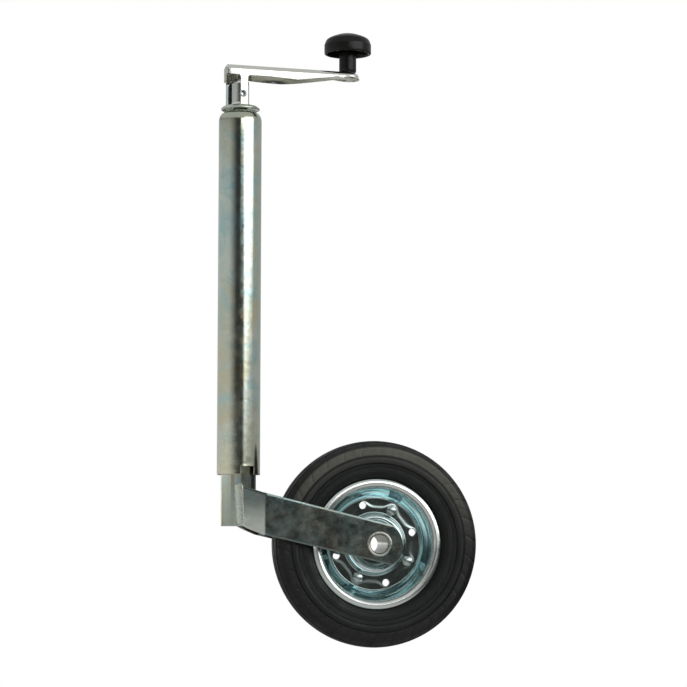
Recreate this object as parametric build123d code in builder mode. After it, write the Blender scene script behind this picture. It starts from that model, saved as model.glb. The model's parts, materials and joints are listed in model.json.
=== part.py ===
from build123d import *
import os

# Trailer jack wheel: a screw jack in a 48 mm tube, with a crank on top and a castor wheel below.
# Millimetres. The origin is on the tube's axis, half way up its straight outer wall, where a
# clamp on a drawbar holds it. +Z is up the tube, +X points from the tube to the wheel.

os.makedirs("parts", exist_ok=True)

# ---- driving dimensions ----
TUBE_R = 24.0  # outer tube, the standard 48 mm that drawbar clamps take
TUBE_WALL = 3.0
TUBE_HALF = 198.0  # half of the straight wall's length
DOME_HEIGHT = 10.5  # the tube's top is spun in
DOME_FLAT_R = 16.5
DOME_HOLE_R = 12.0
NOTCH_WIDTH = 16.5  # the fork's arms nest in two notches when it is wound right in
NOTCH_HEIGHT = 9.0
NOTCH_ANGLE = 18.0  # from square across the tube, towards the wheel

LEG_R = 19.5  # inner tube
LEG_WALL = 2.5
LEG_BOTTOM = -254.6
LEG_TOP = 155.0

LEG_TRAVEL = 220.0  # from the rest pose outwards
NUT_LENGTH = 25.0
RUN_GAP = 0.05  # radial clearance of a running fit

SPINDLE_R = 8.0
SPINDLE_TOP = 246.0
STOP_T = 8.0  # a ring on the spindle's foot stops the nut
STOP_TOP = LEG_TOP - NUT_LENGTH - LEG_TRAVEL - 1.5
SPINDLE_BOTTOM = STOP_TOP - STOP_T - 3

WHEEL_X = 153.4
WHEEL_Z = -274.0
TYRE_R = 115.3
TYRE_HALF = 28.0
HUB_HALF = 26.0
FORK_HALF = 30.0  # inner face of each fork arm
ARM_T = 4.0
AXLE_R = 12.0
AXLE_BORE_R = 10.0
SHEET = 2.0  # rim plate

CRANK_SHEET = 2.5
CRANK_HALF = 12.5  # half the width of the folded channel
CRANK_LEFT = -15.7
CRANK_RIGHT = 6.8  # inner edge of the leg
CRANK_BOTTOM = 215.5
CRANK_TOP = 262.1
CRANK_FALL = 0.030  # the arm falls this much for each millimetre outwards
CRANK_ARM = 122.4  # tube axis to knob axis
PIN_X = 1.5
PIN_Z = 228.7
PIN_R = 3.1

KNOB_R = 26.5
KNOB_STEM_R = 9.7
KNOB_PIN_R = 4.0
KNOB_RIM_Z = 279.5
KNOB_SIDE_TOP = 290.0
KNOB_TOP = 303.6

WHEEL_AXIS = Axis((WHEEL_X, 0, WHEEL_Z), (0, 1, 0))
# the wheel's half section: local x is the radius, local y is along the axle
WHEEL_SECTION = Plane(origin=(WHEEL_X, 0, WHEEL_Z), x_dir=(1, 0, 0), z_dir=(0, 0, 1))
# a section through the tube's axis: local x is the radius, local y is up
TUBE_SECTION = Plane.XZ


def save(piece, name):
    piece.part.label = name
    export_step(piece.part, f"parts/{name}.step")


def tube_ring(outer_r, inner_r, bottom, top):
    """A ring about the tube's axis."""
    with BuildPart() as ring:
        with BuildSketch(Plane.XY.offset(bottom)):
            Circle(outer_r)
            Circle(inner_r, mode=Mode.SUBTRACT)
        extrude(amount=top - bottom)
    return ring


def across_wheel(y):
    """The plane square to the axle at y, with local x along X and local y down."""
    return Plane(origin=(WHEEL_X, y, WHEEL_Z), x_dir=(1, 0, 0), z_dir=(0, 1, 0))


def wheel_ring(outer_r, inner_r, start, end):
    """A ring about the axle, from y = start to y = end."""
    with BuildPart() as ring:
        with BuildSketch(across_wheel(start)):
            Circle(outer_r)
            Circle(inner_r, mode=Mode.SUBTRACT)
        extrude(amount=end - start)
    return ring


# ---- outer tube: spun-in top, two notches in the bottom edge ----
DOME_TOP = TUBE_HALF + DOME_HEIGHT
BORE_R = TUBE_R - TUBE_WALL

with BuildPart() as outer_tube:
    with BuildSketch(TUBE_SECTION):
        with BuildLine():
            Line((BORE_R, -TUBE_HALF), (TUBE_R, -TUBE_HALF))
            Line((TUBE_R, -TUBE_HALF), (TUBE_R, TUBE_HALF))
            EllipticalCenterArc(
                (DOME_FLAT_R, TUBE_HALF), TUBE_R - DOME_FLAT_R, DOME_HEIGHT, arc_size=90
            )
            Line((DOME_FLAT_R, DOME_TOP), (DOME_HOLE_R, DOME_TOP))
            Line((DOME_HOLE_R, DOME_TOP), (DOME_HOLE_R, DOME_TOP - TUBE_WALL))
            Line((DOME_HOLE_R, DOME_TOP - TUBE_WALL), (DOME_FLAT_R, DOME_TOP - TUBE_WALL))
            EllipticalCenterArc(
                (DOME_FLAT_R, TUBE_HALF),
                BORE_R - DOME_FLAT_R,
                DOME_HEIGHT - TUBE_WALL,
                arc_size=90,
            )
            Line((BORE_R, TUBE_HALF), (BORE_R, -TUBE_HALF))
        make_face()
    revolve(axis=Axis.Z)
    for notch_angle in (NOTCH_ANGLE - 90, 90 - NOTCH_ANGLE):
        notch_plane = Plane.XY.offset(-TUBE_HALF - 1).rotated((0, 0, notch_angle))
        with BuildSketch(notch_plane):
            with Locations((TUBE_R, 0)):
                Rectangle(TUBE_R, NOTCH_WIDTH)
        extrude(amount=NOTCH_HEIGHT + 1, mode=Mode.SUBTRACT)
save(outer_tube, "outer_tube")

# ---- thrust bearing under the tube's spun top ----
SEAT_TOP = TUBE_HALF
SEAT_T = 4.0
RACE_T = 3.0
BALL_R = 2.5
BALL_CIRCLE_R = 14.0
BALL_COUNT = 12
BALL_GAP = 0.02
COLLAR_T = 8.0
RACE_OUTER_R = 19.0
RACE_UPPER_TOP = SEAT_TOP - SEAT_T
RACE_UPPER_BOTTOM = RACE_UPPER_TOP - RACE_T
BALL_Z = RACE_UPPER_BOTTOM - BALL_GAP - BALL_R
RACE_LOWER_TOP = BALL_Z - BALL_R - BALL_GAP
RACE_LOWER_BOTTOM = RACE_LOWER_TOP - RACE_T
COLLAR_BOTTOM = RACE_LOWER_BOTTOM - COLLAR_T

bearing_seat = tube_ring(BORE_R, SPINDLE_R + 1, RACE_UPPER_TOP, SEAT_TOP)
save(bearing_seat, "bearing_seat")

upper_race = tube_ring(RACE_OUTER_R, SPINDLE_R + 1, RACE_UPPER_BOTTOM, RACE_UPPER_TOP)
save(upper_race, "bearing_race_upper")

lower_race = tube_ring(RACE_OUTER_R, SPINDLE_R, RACE_LOWER_BOTTOM, RACE_LOWER_TOP)
save(lower_race, "bearing_race_lower")

with BuildPart() as bearing_balls:
    with Locations((0, 0, BALL_Z)):
        with PolarLocations(BALL_CIRCLE_R, BALL_COUNT):
            Sphere(BALL_R)
save(bearing_balls, "bearing_balls")

CAGE_T = 2.0
with BuildPart() as bearing_cage:
    with BuildSketch(Plane.XY.offset(BALL_Z - CAGE_T / 2)):
        Circle(BALL_CIRCLE_R + 4)
        Circle(BALL_CIRCLE_R - 4, mode=Mode.SUBTRACT)
        with PolarLocations(BALL_CIRCLE_R, BALL_COUNT):
            Circle(BALL_R + RUN_GAP, mode=Mode.SUBTRACT)
    extrude(amount=CAGE_T)
save(bearing_cage, "bearing_cage")

with BuildPart() as spindle_bush:
    with BuildSketch(TUBE_SECTION):
        with BuildLine():
            Polyline(
                (SPINDLE_R + RUN_GAP, DOME_TOP - TUBE_WALL - 2),
                (DOME_HOLE_R, DOME_TOP - TUBE_WALL - 2),
                (DOME_HOLE_R, DOME_TOP),
                (DOME_FLAT_R - 2, DOME_TOP),
                (DOME_FLAT_R - 2, DOME_TOP + 1.5),
                (SPINDLE_R + RUN_GAP, DOME_TOP + 1.5),
                close=True,
            )
        make_face()
    revolve(axis=Axis.Z)
save(spindle_bush, "spindle_bush")

# ---- screw: spindle, thrust collar, end stop, washer under the crank ----
with BuildPart() as spindle:
    with BuildSketch(Plane.XY.offset(SPINDLE_BOTTOM)):
        Circle(SPINDLE_R)
    extrude(amount=SPINDLE_TOP - SPINDLE_BOTTOM)
    chamfer(spindle.edges().filter_by(GeomType.CIRCLE), 1.2)
    with BuildSketch(Plane.XZ):
        with Locations((PIN_X, PIN_Z)):
            Circle(PIN_R)
    extrude(amount=CRANK_HALF, both=True, mode=Mode.SUBTRACT)
save(spindle, "spindle")

thrust_collar = tube_ring(14.0, SPINDLE_R, COLLAR_BOTTOM, RACE_LOWER_BOTTOM)
save(thrust_collar, "thrust_collar")

end_stop = tube_ring(12.0, SPINDLE_R, STOP_TOP - STOP_T, STOP_TOP)
save(end_stop, "spindle_end_stop")

WASHER_R = 21.5
WASHER_BOTTOM = 211.0
with BuildPart() as crank_washer:
    with BuildSketch(TUBE_SECTION):
        with BuildLine():
            Polyline(
                (SPINDLE_R, WASHER_BOTTOM + 1),
                (WASHER_R - 5, WASHER_BOTTOM + 1),
                (WASHER_R, WASHER_BOTTOM),
                (WASHER_R, WASHER_BOTTOM + 2.3),
                (WASHER_R - 2.5, CRANK_BOTTOM),
                (SPINDLE_R, CRANK_BOTTOM),
                close=True,
            )
        make_face()
    revolve(axis=Axis.Z)
save(crank_washer, "crank_washer")

# ---- crank: one pressed plate, folded into an upside-down channel, with a leg over the spindle ----
CRANK_END = CRANK_ARM + CRANK_HALF
CRANK_BEND_R = 3.5  # outside radius of the plate's folds
# the flanges' lower edge, from the knob's end back to the leg: x, and depth below the arm's top
ARM_EDGE = [
    (CRANK_ARM - 10, 7.2),
    (CRANK_ARM - 13, 6.0),
    (97.0, 8.2),
    (69.0, 12.8),
    (50.0, 15.2),
    (32.0, 15.0),
    (CRANK_RIGHT, 13.6),
]
ARM_END_DEPTH = ARM_EDGE[0][1]
FRONT_TRIM = [(CRANK_RIGHT, 11.4), (32.0, 11.4), (66.0, 13.4)]  # the front flange is shallower
HOLLOW_REACH = 40.0  # the hollow runs out of the open side by this much
NOTCH_RIGHT = -1.1  # the front flange is cut away left of this
NOTCH_TOP = 251.0
WEB_END = 244.0
SOCKET_R = 9.8
SOCKET_TOP = 244.0


def crank_top(x, drop=0.0):
    """A point on the arm's sloping top, or drop below it."""
    return (x, CRANK_TOP - CRANK_FALL * (x - CRANK_LEFT) - drop)


def crank_body(inset, reach):
    """The crank's outside, or with an inset the hollow under its plate, drawn reach too long."""
    half = CRANK_HALF - inset
    with BuildPart() as body:
        with BuildSketch(Plane.XZ):
            with BuildLine():
                Polyline(
                    (CRANK_LEFT + inset, CRANK_BOTTOM - reach),
                    crank_top(CRANK_LEFT + inset, inset),
                    crank_top(CRANK_END, inset),
                    crank_top(CRANK_END, ARM_END_DEPTH + reach),
                    *[crank_top(x, depth + reach) for x, depth in ARM_EDGE],
                    (CRANK_RIGHT, CRANK_BOTTOM - reach),
                    close=True,
                )
            make_face()
        extrude(amount=half, both=True)
        with BuildSketch(Plane.XY):
            with Locations((CRANK_ARM - 100, 0)):
                Rectangle(200, 2 * half)
            with Locations((CRANK_ARM, 0)):
                Circle(half)
        extrude(amount=400, mode=Mode.INTERSECT)
        top_face = body.faces().sort_by(Axis.Z)[-1]
        left_face = body.faces().sort_by(Axis.X)[0]
        left_sides = left_face.edges().filter_by(Axis.Z)
        fillet(top_face.edges() + left_sides, CRANK_BEND_R - inset)
    return body


crank_hollow = crank_body(CRANK_SHEET, HOLLOW_REACH)
with BuildPart() as crank_arm:
    add(crank_body(0.0, 0.0).part)
    inner_corners = crank_arm.edges().filter_by(Axis.Y)
    inner_corner = inner_corners.filter_by_position(Axis.X, CRANK_RIGHT - 0.1, CRANK_RIGHT + 0.1)
    fillet(inner_corner.sort_by(Axis.Z)[-1], 3)
    add(crank_hollow.part, mode=Mode.SUBTRACT)
    # the front flange and the web are cut away beside the spindle
    with BuildSketch(Plane.XZ.offset(CRANK_HALF + 1)):
        with BuildLine():
            FilletPolyline(
                (CRANK_LEFT - 5, CRANK_BOTTOM - 5),
                (NOTCH_RIGHT, CRANK_BOTTOM - 5),
                (NOTCH_RIGHT, NOTCH_TOP),
                (CRANK_LEFT - 5, NOTCH_TOP),
                radius=3,
                close=True,
            )
        make_face()
    extrude(amount=-CRANK_SHEET - 1, mode=Mode.SUBTRACT)
    with BuildSketch(Plane.XY.offset(CRANK_BOTTOM - 5)):
        with Locations((CRANK_LEFT, -CRANK_SHEET)):
            Rectangle(2 * CRANK_SHEET + 0.5, 2 * CRANK_HALF)
    extrude(amount=WEB_END - CRANK_BOTTOM + 5, mode=Mode.SUBTRACT)
    with BuildSketch(Plane.XZ.offset(CRANK_HALF + 1)):
        with BuildLine():
            Polyline(
                *[crank_top(x, depth) for x, depth in FRONT_TRIM],
                crank_top(FRONT_TRIM[-1][0], 2 * ARM_EDGE[-1][1]),
                crank_top(CRANK_RIGHT, 2 * ARM_EDGE[-1][1]),
                close=True,
            )
        make_face()
    extrude(amount=-CRANK_SHEET - 1, mode=Mode.SUBTRACT)
    # an eye on the front flange gives the cross pin its seat
    with BuildSketch(Plane.XZ.offset(CRANK_HALF - CRANK_SHEET)):
        with Locations((PIN_X, PIN_Z)):
            Circle(PIN_R + 1.8)
    extrude(amount=CRANK_SHEET)
    with BuildSketch(Plane.XZ):
        with Locations((PIN_X, PIN_Z)):
            Circle(PIN_R)
    extrude(amount=CRANK_HALF + 1, both=True, mode=Mode.SUBTRACT)
    # the hole for the knob's pin
    with BuildSketch(Plane.XY.offset(CRANK_BOTTOM)):
        with Locations((CRANK_ARM, 0)):
            Circle(KNOB_PIN_R)
    extrude(amount=CRANK_TOP - CRANK_BOTTOM, mode=Mode.SUBTRACT)
save(crank_arm, "crank_arm")

with BuildPart() as crank_socket:
    with BuildSketch(Plane.XY.offset(CRANK_BOTTOM)):
        Circle(SOCKET_R)
        Circle(SPINDLE_R, mode=Mode.SUBTRACT)
    extrude(amount=SOCKET_TOP - CRANK_BOTTOM)
    with BuildSketch(Plane.XZ):
        with Locations((PIN_X, PIN_Z)):
            Circle(PIN_R)
    extrude(amount=CRANK_HALF, both=True, mode=Mode.SUBTRACT)
save(crank_socket, "crank_socket")

with BuildPart() as crank_pin:
    with BuildSketch(Plane.XZ.offset(-CRANK_HALF - 1)):
        with Locations((PIN_X, PIN_Z)):
            Circle(PIN_R)
            Circle(PIN_R - 1.3, mode=Mode.SUBTRACT)
    extrude(amount=2 * CRANK_HALF + 2)
save(crank_pin, "crank_pin")

# ---- knob, turning on a pin riveted through the crank's end ----
KNOB_AXIS = Axis((CRANK_ARM, 0, 0), (0, 0, 1))
# local x is the radius from the knob's axis, local y is up
KNOB_SECTION = Plane(origin=(CRANK_ARM, 0, 0), x_dir=(1, 0, 0), z_dir=(0, -1, 0))
KNOB_SEAT = crank_top(CRANK_ARM)[1]
KNOB_BOTTOM = KNOB_SEAT + 0.7
KNOB_WALL = 3.2
KNOB_CEILING = KNOB_RIM_Z + 12.0  # underside of the mushroom head
PIN_HEAD_R = 6.5
PIN_HEAD_TOP = KNOB_SEAT - CRANK_SHEET - 0.4
PIN_HEAD_T = 2.5
CLIP_R = 6.5
CLIP_T = 2.0
CLIP_BOTTOM = KNOB_RIM_Z + 4
POCKET_GAP = 0.4  # room around the clip in the knob's pocket
KNOB_PIN_TOP = CLIP_BOTTOM + CLIP_T + 1

with BuildPart() as knob_pin:
    with BuildSketch(KNOB_SECTION):
        with BuildLine():
            Polyline(
                (0, PIN_HEAD_TOP - PIN_HEAD_T),
                (PIN_HEAD_R - 1.5, PIN_HEAD_TOP - PIN_HEAD_T),
                (PIN_HEAD_R, PIN_HEAD_TOP - PIN_HEAD_T + 1.5),
                (PIN_HEAD_R, PIN_HEAD_TOP),
                (KNOB_PIN_R, PIN_HEAD_TOP),
                (KNOB_PIN_R, KNOB_PIN_TOP),
                (0, KNOB_PIN_TOP),
                close=True,
            )
        make_face()
    revolve(axis=KNOB_AXIS)
save(knob_pin, "knob_pin")

with BuildPart() as knob_clip:
    with BuildSketch(Plane.XY.offset(CLIP_BOTTOM)):
        with Locations((CRANK_ARM, 0)):
            Circle(CLIP_R)
            Circle(KNOB_PIN_R, mode=Mode.SUBTRACT)
    extrude(amount=CLIP_T)
save(knob_clip, "knob_clip")

with BuildPart() as crank_knob:
    with BuildSketch(KNOB_SECTION):
        with BuildLine():
            Line((0, KNOB_PIN_TOP + POCKET_GAP), (0, KNOB_TOP))
            Spline(
                (0, KNOB_TOP),
                (12, KNOB_TOP - 2.0),
                (20.5, KNOB_TOP - 5.3),
                (24.3, KNOB_TOP - 8.2),
                (KNOB_R, KNOB_SIDE_TOP),
                tangents=[(1, 0), (0, -1)],
            )
            Polyline(
                (KNOB_R, KNOB_SIDE_TOP),
                (KNOB_R, KNOB_RIM_Z + 1),
                (KNOB_R - 1, KNOB_RIM_Z),
                (KNOB_R - KNOB_WALL, KNOB_RIM_Z),
                (KNOB_R - KNOB_WALL - 1, KNOB_CEILING - 3),
                (KNOB_R - KNOB_WALL - 4, KNOB_CEILING),
                (KNOB_STEM_R + 1, KNOB_CEILING),
                (KNOB_STEM_R, KNOB_CEILING - 1),
                (KNOB_STEM_R, KNOB_BOTTOM),
                (KNOB_PIN_R + 2 * RUN_GAP, KNOB_BOTTOM),
                (KNOB_PIN_R + 2 * RUN_GAP, CLIP_BOTTOM - POCKET_GAP),
                (CLIP_R + POCKET_GAP, CLIP_BOTTOM - POCKET_GAP),
                (CLIP_R + POCKET_GAP, KNOB_PIN_TOP + POCKET_GAP),
                (0, KNOB_PIN_TOP + POCKET_GAP),
            )
        make_face()
    revolve(axis=KNOB_AXIS)
save(crank_knob, "crank_knob")

# ---- leg: inner tube with the spindle's nut in its top, running in a guide bush ----
BUSH_BOTTOM = -TUBE_HALF + NOTCH_HEIGHT + 1
BUSH_LENGTH = 26.0
guide_bush = tube_ring(
    BORE_R - RUN_GAP, LEG_R + RUN_GAP, BUSH_BOTTOM, BUSH_BOTTOM + BUSH_LENGTH
)
save(guide_bush, "guide_bush")

inner_tube = tube_ring(LEG_R, LEG_R - LEG_WALL, LEG_BOTTOM, LEG_TOP)
save(inner_tube, "inner_tube")

NUT_FLANGE_T = 5.0
with BuildPart() as spindle_nut:
    with BuildSketch(TUBE_SECTION):
        with BuildLine():
            Polyline(
                (SPINDLE_R + RUN_GAP, LEG_TOP - NUT_LENGTH),
                (LEG_R - LEG_WALL, LEG_TOP - NUT_LENGTH),
                (LEG_R - LEG_WALL, LEG_TOP),
                (LEG_R, LEG_TOP),
                (LEG_R, LEG_TOP + NUT_FLANGE_T),
                (SPINDLE_R + RUN_GAP, LEG_TOP + NUT_FLANGE_T),
                close=True,
            )
        make_face()
    revolve(axis=Axis.Z)
save(spindle_nut, "spindle_nut")

# a slippery ring on the nut keeps the leg's top central in the outer tube
guide_ring = tube_ring(BORE_R - 2 * RUN_GAP, LEG_R, LEG_TOP - 9, LEG_TOP + 3)
save(guide_ring, "guide_ring")

# ---- fork: two cranked arms, tangent to the inner tube, welded down its sides ----
ARM_SPLAY = Plane.XY.rotated((0, 0, 22))  # an arm leaves the tube along this plane's x
ARM_START = ARM_SPLAY.y_dir * LEG_R
ARM_BEND = ARM_START + ARM_SPLAY.x_dir * (
    (FORK_HALF - ARM_START.Y) / ARM_SPLAY.x_dir.Y
)
ARM_OUT_START = ARM_START + ARM_SPLAY.y_dir * ARM_T
ARM_OUT_BEND = ARM_OUT_START + ARM_SPLAY.x_dir * (
    (FORK_HALF + ARM_T - ARM_OUT_START.Y) / ARM_SPLAY.x_dir.Y
)
ARM_FAR_X = 200.0  # past the rounded end
ARM_END_R = 25.7
ARM_TOP_START = (-3.5, -208.9)
ARM_TOP_BEND = (ARM_BEND.X, -217.2)
ARM_TOP_SLOPE = 0.248
ARM_LOW_START = (-1.5, -254.0)
ARM_LOW_BEND = (ARM_BEND.X, -263.6)
ARM_LOW_SLOPE = 0.232


def fork_arm(side):
    """One arm; side is -1 for the front arm and 1 for the back one."""
    run = ARM_FAR_X - ARM_BEND.X
    with BuildPart() as arm:
        # the folded plate seen from above
        with BuildSketch(Plane.XY.offset(WHEEL_Z - 60)) as plan:
            with BuildLine():
                Polyline(
                    (ARM_START.X, side * ARM_START.Y),
                    (ARM_BEND.X, side * ARM_BEND.Y),
                    (ARM_FAR_X, side * FORK_HALF),
                    (ARM_FAR_X, side * (FORK_HALF + ARM_T)),
                    (ARM_OUT_BEND.X, side * (FORK_HALF + ARM_T)),
                    (ARM_OUT_START.X, side * ARM_OUT_START.Y),
                    close=True,
                )
            make_face()
        extrude(amount=200)
        bends = arm.edges().filter_by(Axis.Z).sort_by(Axis.X)[2:4].sort_by(Axis.Y)
        inner_bend, outer_bend = bends if side > 0 else reversed(bends)
        fillet(inner_bend, ARM_T / 2)
        fillet(outer_bend, ARM_T * 1.5)
        # its outline seen from the side
        with BuildSketch(Plane.XZ):
            with BuildLine():
                Polyline(
                    ARM_TOP_START,
                    ARM_TOP_BEND,
                    (ARM_FAR_X, ARM_TOP_BEND[1] - ARM_TOP_SLOPE * run),
                    (ARM_FAR_X, ARM_LOW_BEND[1] - ARM_LOW_SLOPE * run),
                    ARM_LOW_BEND,
                    ARM_LOW_START,
                    close=True,
                )
            make_face()
        extrude(amount=2 * FORK_HALF, both=True, mode=Mode.INTERSECT)
        # the end is rounded about the axle
        with BuildSketch(Plane.XZ):
            with Locations((WHEEL_X - ARM_FAR_X, WHEEL_Z)):
                Rectangle(2 * ARM_FAR_X, ARM_FAR_X)
            with Locations((WHEEL_X, WHEEL_Z)):
                Circle(ARM_END_R)
        extrude(amount=2 * FORK_HALF, both=True, mode=Mode.INTERSECT)
        with BuildSketch(Plane.XZ):
            with Locations((WHEEL_X, WHEEL_Z)):
                Circle(AXLE_R)
        extrude(amount=2 * FORK_HALF, both=True, mode=Mode.SUBTRACT)
    return arm


fork_arm_front = fork_arm(-1)
save(fork_arm_front, "fork_arm_front")
fork_arm_back = fork_arm(1)
save(fork_arm_back, "fork_arm_back")

WELD_R = 3.0
WELD_TOP = Vector(-3.4, 19.4, -208.5)
WELD_LOW = Vector(-1.6, 19.9, -253.5)
with BuildPart() as fork_welds:
    for side in (-1, 1):
        top = Vector(WELD_TOP.X, side * WELD_TOP.Y, WELD_TOP.Z)
        low = Vector(WELD_LOW.X, side * WELD_LOW.Y, WELD_LOW.Z)
        with BuildSketch(Plane(origin=low, z_dir=top - low)):
            Circle(WELD_R)
        extrude(amount=(top - low).length)
    add(fork_arm_front.part, mode=Mode.SUBTRACT)
    add(fork_arm_back.part, mode=Mode.SUBTRACT)
    with BuildSketch(Plane.XY.offset(LEG_BOTTOM - 10)):
        Circle(LEG_R)
    extrude(amount=100, mode=Mode.SUBTRACT)
save(fork_welds, "fork_welds")

# ---- axle: a hollow rivet through the arms, with a spacer inside each arm ----
AXLE_OUT = FORK_HALF + ARM_T
LIP_T = 1.6
LIP_R = 14.0
LIP_MOUTH_R = 11.4
with BuildPart() as axle:
    with BuildSketch(WHEEL_SECTION):
        with BuildLine():
            Polyline(
                (AXLE_BORE_R, -AXLE_OUT + 3),
                (LIP_MOUTH_R, -AXLE_OUT - LIP_T),
                (LIP_R - 0.6, -AXLE_OUT - LIP_T),
                (LIP_R, -AXLE_OUT),
                (AXLE_R, -AXLE_OUT),
                (AXLE_R, AXLE_OUT),
                (LIP_R, AXLE_OUT),
                (LIP_R - 0.6, AXLE_OUT + LIP_T),
                (LIP_MOUTH_R, AXLE_OUT + LIP_T),
                (AXLE_BORE_R, AXLE_OUT - 3),
                close=True,
            )
        make_face()
    revolve(axis=WHEEL_AXIS)
save(axle, "axle")

SPACER_T = 2.0
SPACER_R = 16.5
SIDES = {"front": -1, "back": 1}
for side_name, side in SIDES.items():
    spacer = wheel_ring(SPACER_R, AXLE_R, side * (FORK_HALF - SPACER_T), side * FORK_HALF)
    save(spacer, f"axle_spacer_{side_name}")

# ---- wheel: hub tube, flanged bushes, two pressed rim halves bolted together, solid tyre ----
HUB_R = 17.5
BUSH_R = 15.0
BUSH_DEPTH = 16.0
BUSH_FLANGE_T = 1.6
hub_tube = wheel_ring(HUB_R, BUSH_R, -HUB_HALF, HUB_HALF)
save(hub_tube, "hub_tube")

for side_name, side in SIDES.items():
    with BuildPart() as hub_bush:
        with BuildSketch(WHEEL_SECTION):
            with BuildLine():
                Polyline(
                    (AXLE_R + RUN_GAP, side * (HUB_HALF - BUSH_DEPTH)),
                    (BUSH_R, side * (HUB_HALF - BUSH_DEPTH)),
                    (BUSH_R, side * HUB_HALF),
                    (HUB_R, side * HUB_HALF),
                    (HUB_R, side * (HUB_HALF + BUSH_FLANGE_T)),
                    (AXLE_R + RUN_GAP, side * (HUB_HALF + BUSH_FLANGE_T)),
                    close=True,
                )
            make_face()
        revolve(axis=WHEEL_AXIS)
    save(hub_bush, f"hub_bush_{side_name}")

RIM_R = 73.0
WEB_R = 51.5
HOLE_CIRCLE_R = 45.0
HOLE_R = 4.0
HOLE_TURN = -17.0  # clockwise from the top, seen from the front
BOLT_CIRCLE_R = 42.0
BOLT_R = 3.0
BOLT_TURN = 27.0
# mid-line of the front half's plate: radius, and distance from the joint between the halves
RIM_LINE = [
    (HUB_R, 3.5),
    (23.6, 3.5),
    (28.0, 8.5),
    (31.0, 8.5),
    (33.2, SHEET / 2),
    (WEB_R, SHEET / 2),
    (55.5, 4.0),
    (64.5, 16.0),
    (67.0, 19.5),
    (RIM_R, 20.0),
]

for side_name, side in SIDES.items():
    with BuildPart() as rim_half:
        with BuildSketch(WHEEL_SECTION):
            with BuildLine():
                FilletPolyline(*[(r, side * y) for r, y in RIM_LINE], radius=1.3)
            trace(line_width=SHEET)
        revolve(axis=WHEEL_AXIS)
        with BuildSketch(across_wheel(-HUB_HALF)):
            with PolarLocations(HOLE_CIRCLE_R, 4, start_angle=HOLE_TURN - 90):
                Circle(HOLE_R)
            with PolarLocations(BOLT_CIRCLE_R, 4, start_angle=BOLT_TURN - 90):
                Circle(BOLT_R)
        extrude(amount=2 * HUB_HALF, mode=Mode.SUBTRACT)
    save(rim_half, f"rim_{side_name}")

BOLT_HEAD_R = 5.77  # 10 mm across the flats
BOLT_HEAD_T = 4.0
NUT_T = 5.0
with BuildPart() as rim_bolts:
    with BuildSketch(across_wheel(-SHEET - BOLT_HEAD_T)):
        with PolarLocations(BOLT_CIRCLE_R, 4, start_angle=BOLT_TURN - 90):
            RegularPolygon(BOLT_HEAD_R, 6)
    extrude(amount=BOLT_HEAD_T)
    with BuildSketch(across_wheel(-SHEET)):
        with PolarLocations(BOLT_CIRCLE_R, 4, start_angle=BOLT_TURN - 90):
            Circle(BOLT_R)
    extrude(amount=2 * SHEET + NUT_T + 2)
save(rim_bolts, "rim_bolts")

with BuildPart() as rim_nuts:
    with BuildSketch(across_wheel(SHEET)):
        with PolarLocations(BOLT_CIRCLE_R, 4, start_angle=BOLT_TURN - 90):
            RegularPolygon(BOLT_HEAD_R, 6)
            Circle(BOLT_R, mode=Mode.SUBTRACT)
    extrude(amount=NUT_T)
save(rim_nuts, "rim_nuts")

# half of the tyre's section: radius, and distance from its middle
TYRE_LINE = [
    (57.2, 0.0),
    (57.2, 4.0),
    (65.5, 15.2),
    (67.4, 17.9),
    (72.5, 18.6),
    (74.6, 19.2),
    (74.6, 21.8),
    (76.5, 24.4),
    (80.0, 25.4),
    (89.0, 25.6),
    (90.0, 27.4),
    (96.0, TYRE_HALF),
    (97.5, 26.7),
    (105.3, 25.9),
    (108.2, 23.6),
]
with BuildPart() as tyre:
    with BuildSketch(WHEEL_SECTION):
        with BuildLine():
            Polyline(*TYRE_LINE)
            Spline(
                TYRE_LINE[-1],
                (112.7, 16.5),
                (TYRE_R, 0),
                tangents=[(0.7, -0.7), (0, -1)],
            )
            Line((TYRE_R, 0), TYRE_LINE[0])
        make_face()
    revolve(axis=WHEEL_AXIS)
    mirror(about=Plane.XZ)
save(tyre, "tyre")
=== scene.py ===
"""Trailer jack wheel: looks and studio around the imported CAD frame.

Blender works in metres. Pieces are drawn in millimetres, in the frame of the CAD, and scaled once.
"""

import json
from math import acos, asin, atan2, ceil, copysign, cos, dist, exp, pi, radians, remainder, sin, sqrt, tan

import bmesh
import bpy
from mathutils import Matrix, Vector


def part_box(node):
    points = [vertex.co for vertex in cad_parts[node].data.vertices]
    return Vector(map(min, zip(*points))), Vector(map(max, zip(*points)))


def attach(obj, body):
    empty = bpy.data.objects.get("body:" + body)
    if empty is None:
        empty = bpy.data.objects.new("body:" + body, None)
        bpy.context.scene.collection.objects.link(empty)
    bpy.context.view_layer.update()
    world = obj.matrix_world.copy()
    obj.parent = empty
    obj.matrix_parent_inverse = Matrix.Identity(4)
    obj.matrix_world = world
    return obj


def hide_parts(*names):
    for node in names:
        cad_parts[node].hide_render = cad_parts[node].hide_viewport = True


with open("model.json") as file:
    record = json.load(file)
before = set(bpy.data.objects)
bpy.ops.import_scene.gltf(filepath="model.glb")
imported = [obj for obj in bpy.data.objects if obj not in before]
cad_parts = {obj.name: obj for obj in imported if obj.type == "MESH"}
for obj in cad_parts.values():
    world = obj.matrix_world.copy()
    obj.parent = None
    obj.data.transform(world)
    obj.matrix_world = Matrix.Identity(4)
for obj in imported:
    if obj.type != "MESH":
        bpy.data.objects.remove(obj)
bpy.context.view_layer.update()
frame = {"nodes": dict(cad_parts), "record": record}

TAU = 2 * pi
MM = 0.001


def box_mm(node):
    low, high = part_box(node)
    return low / MM, high / MM


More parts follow.
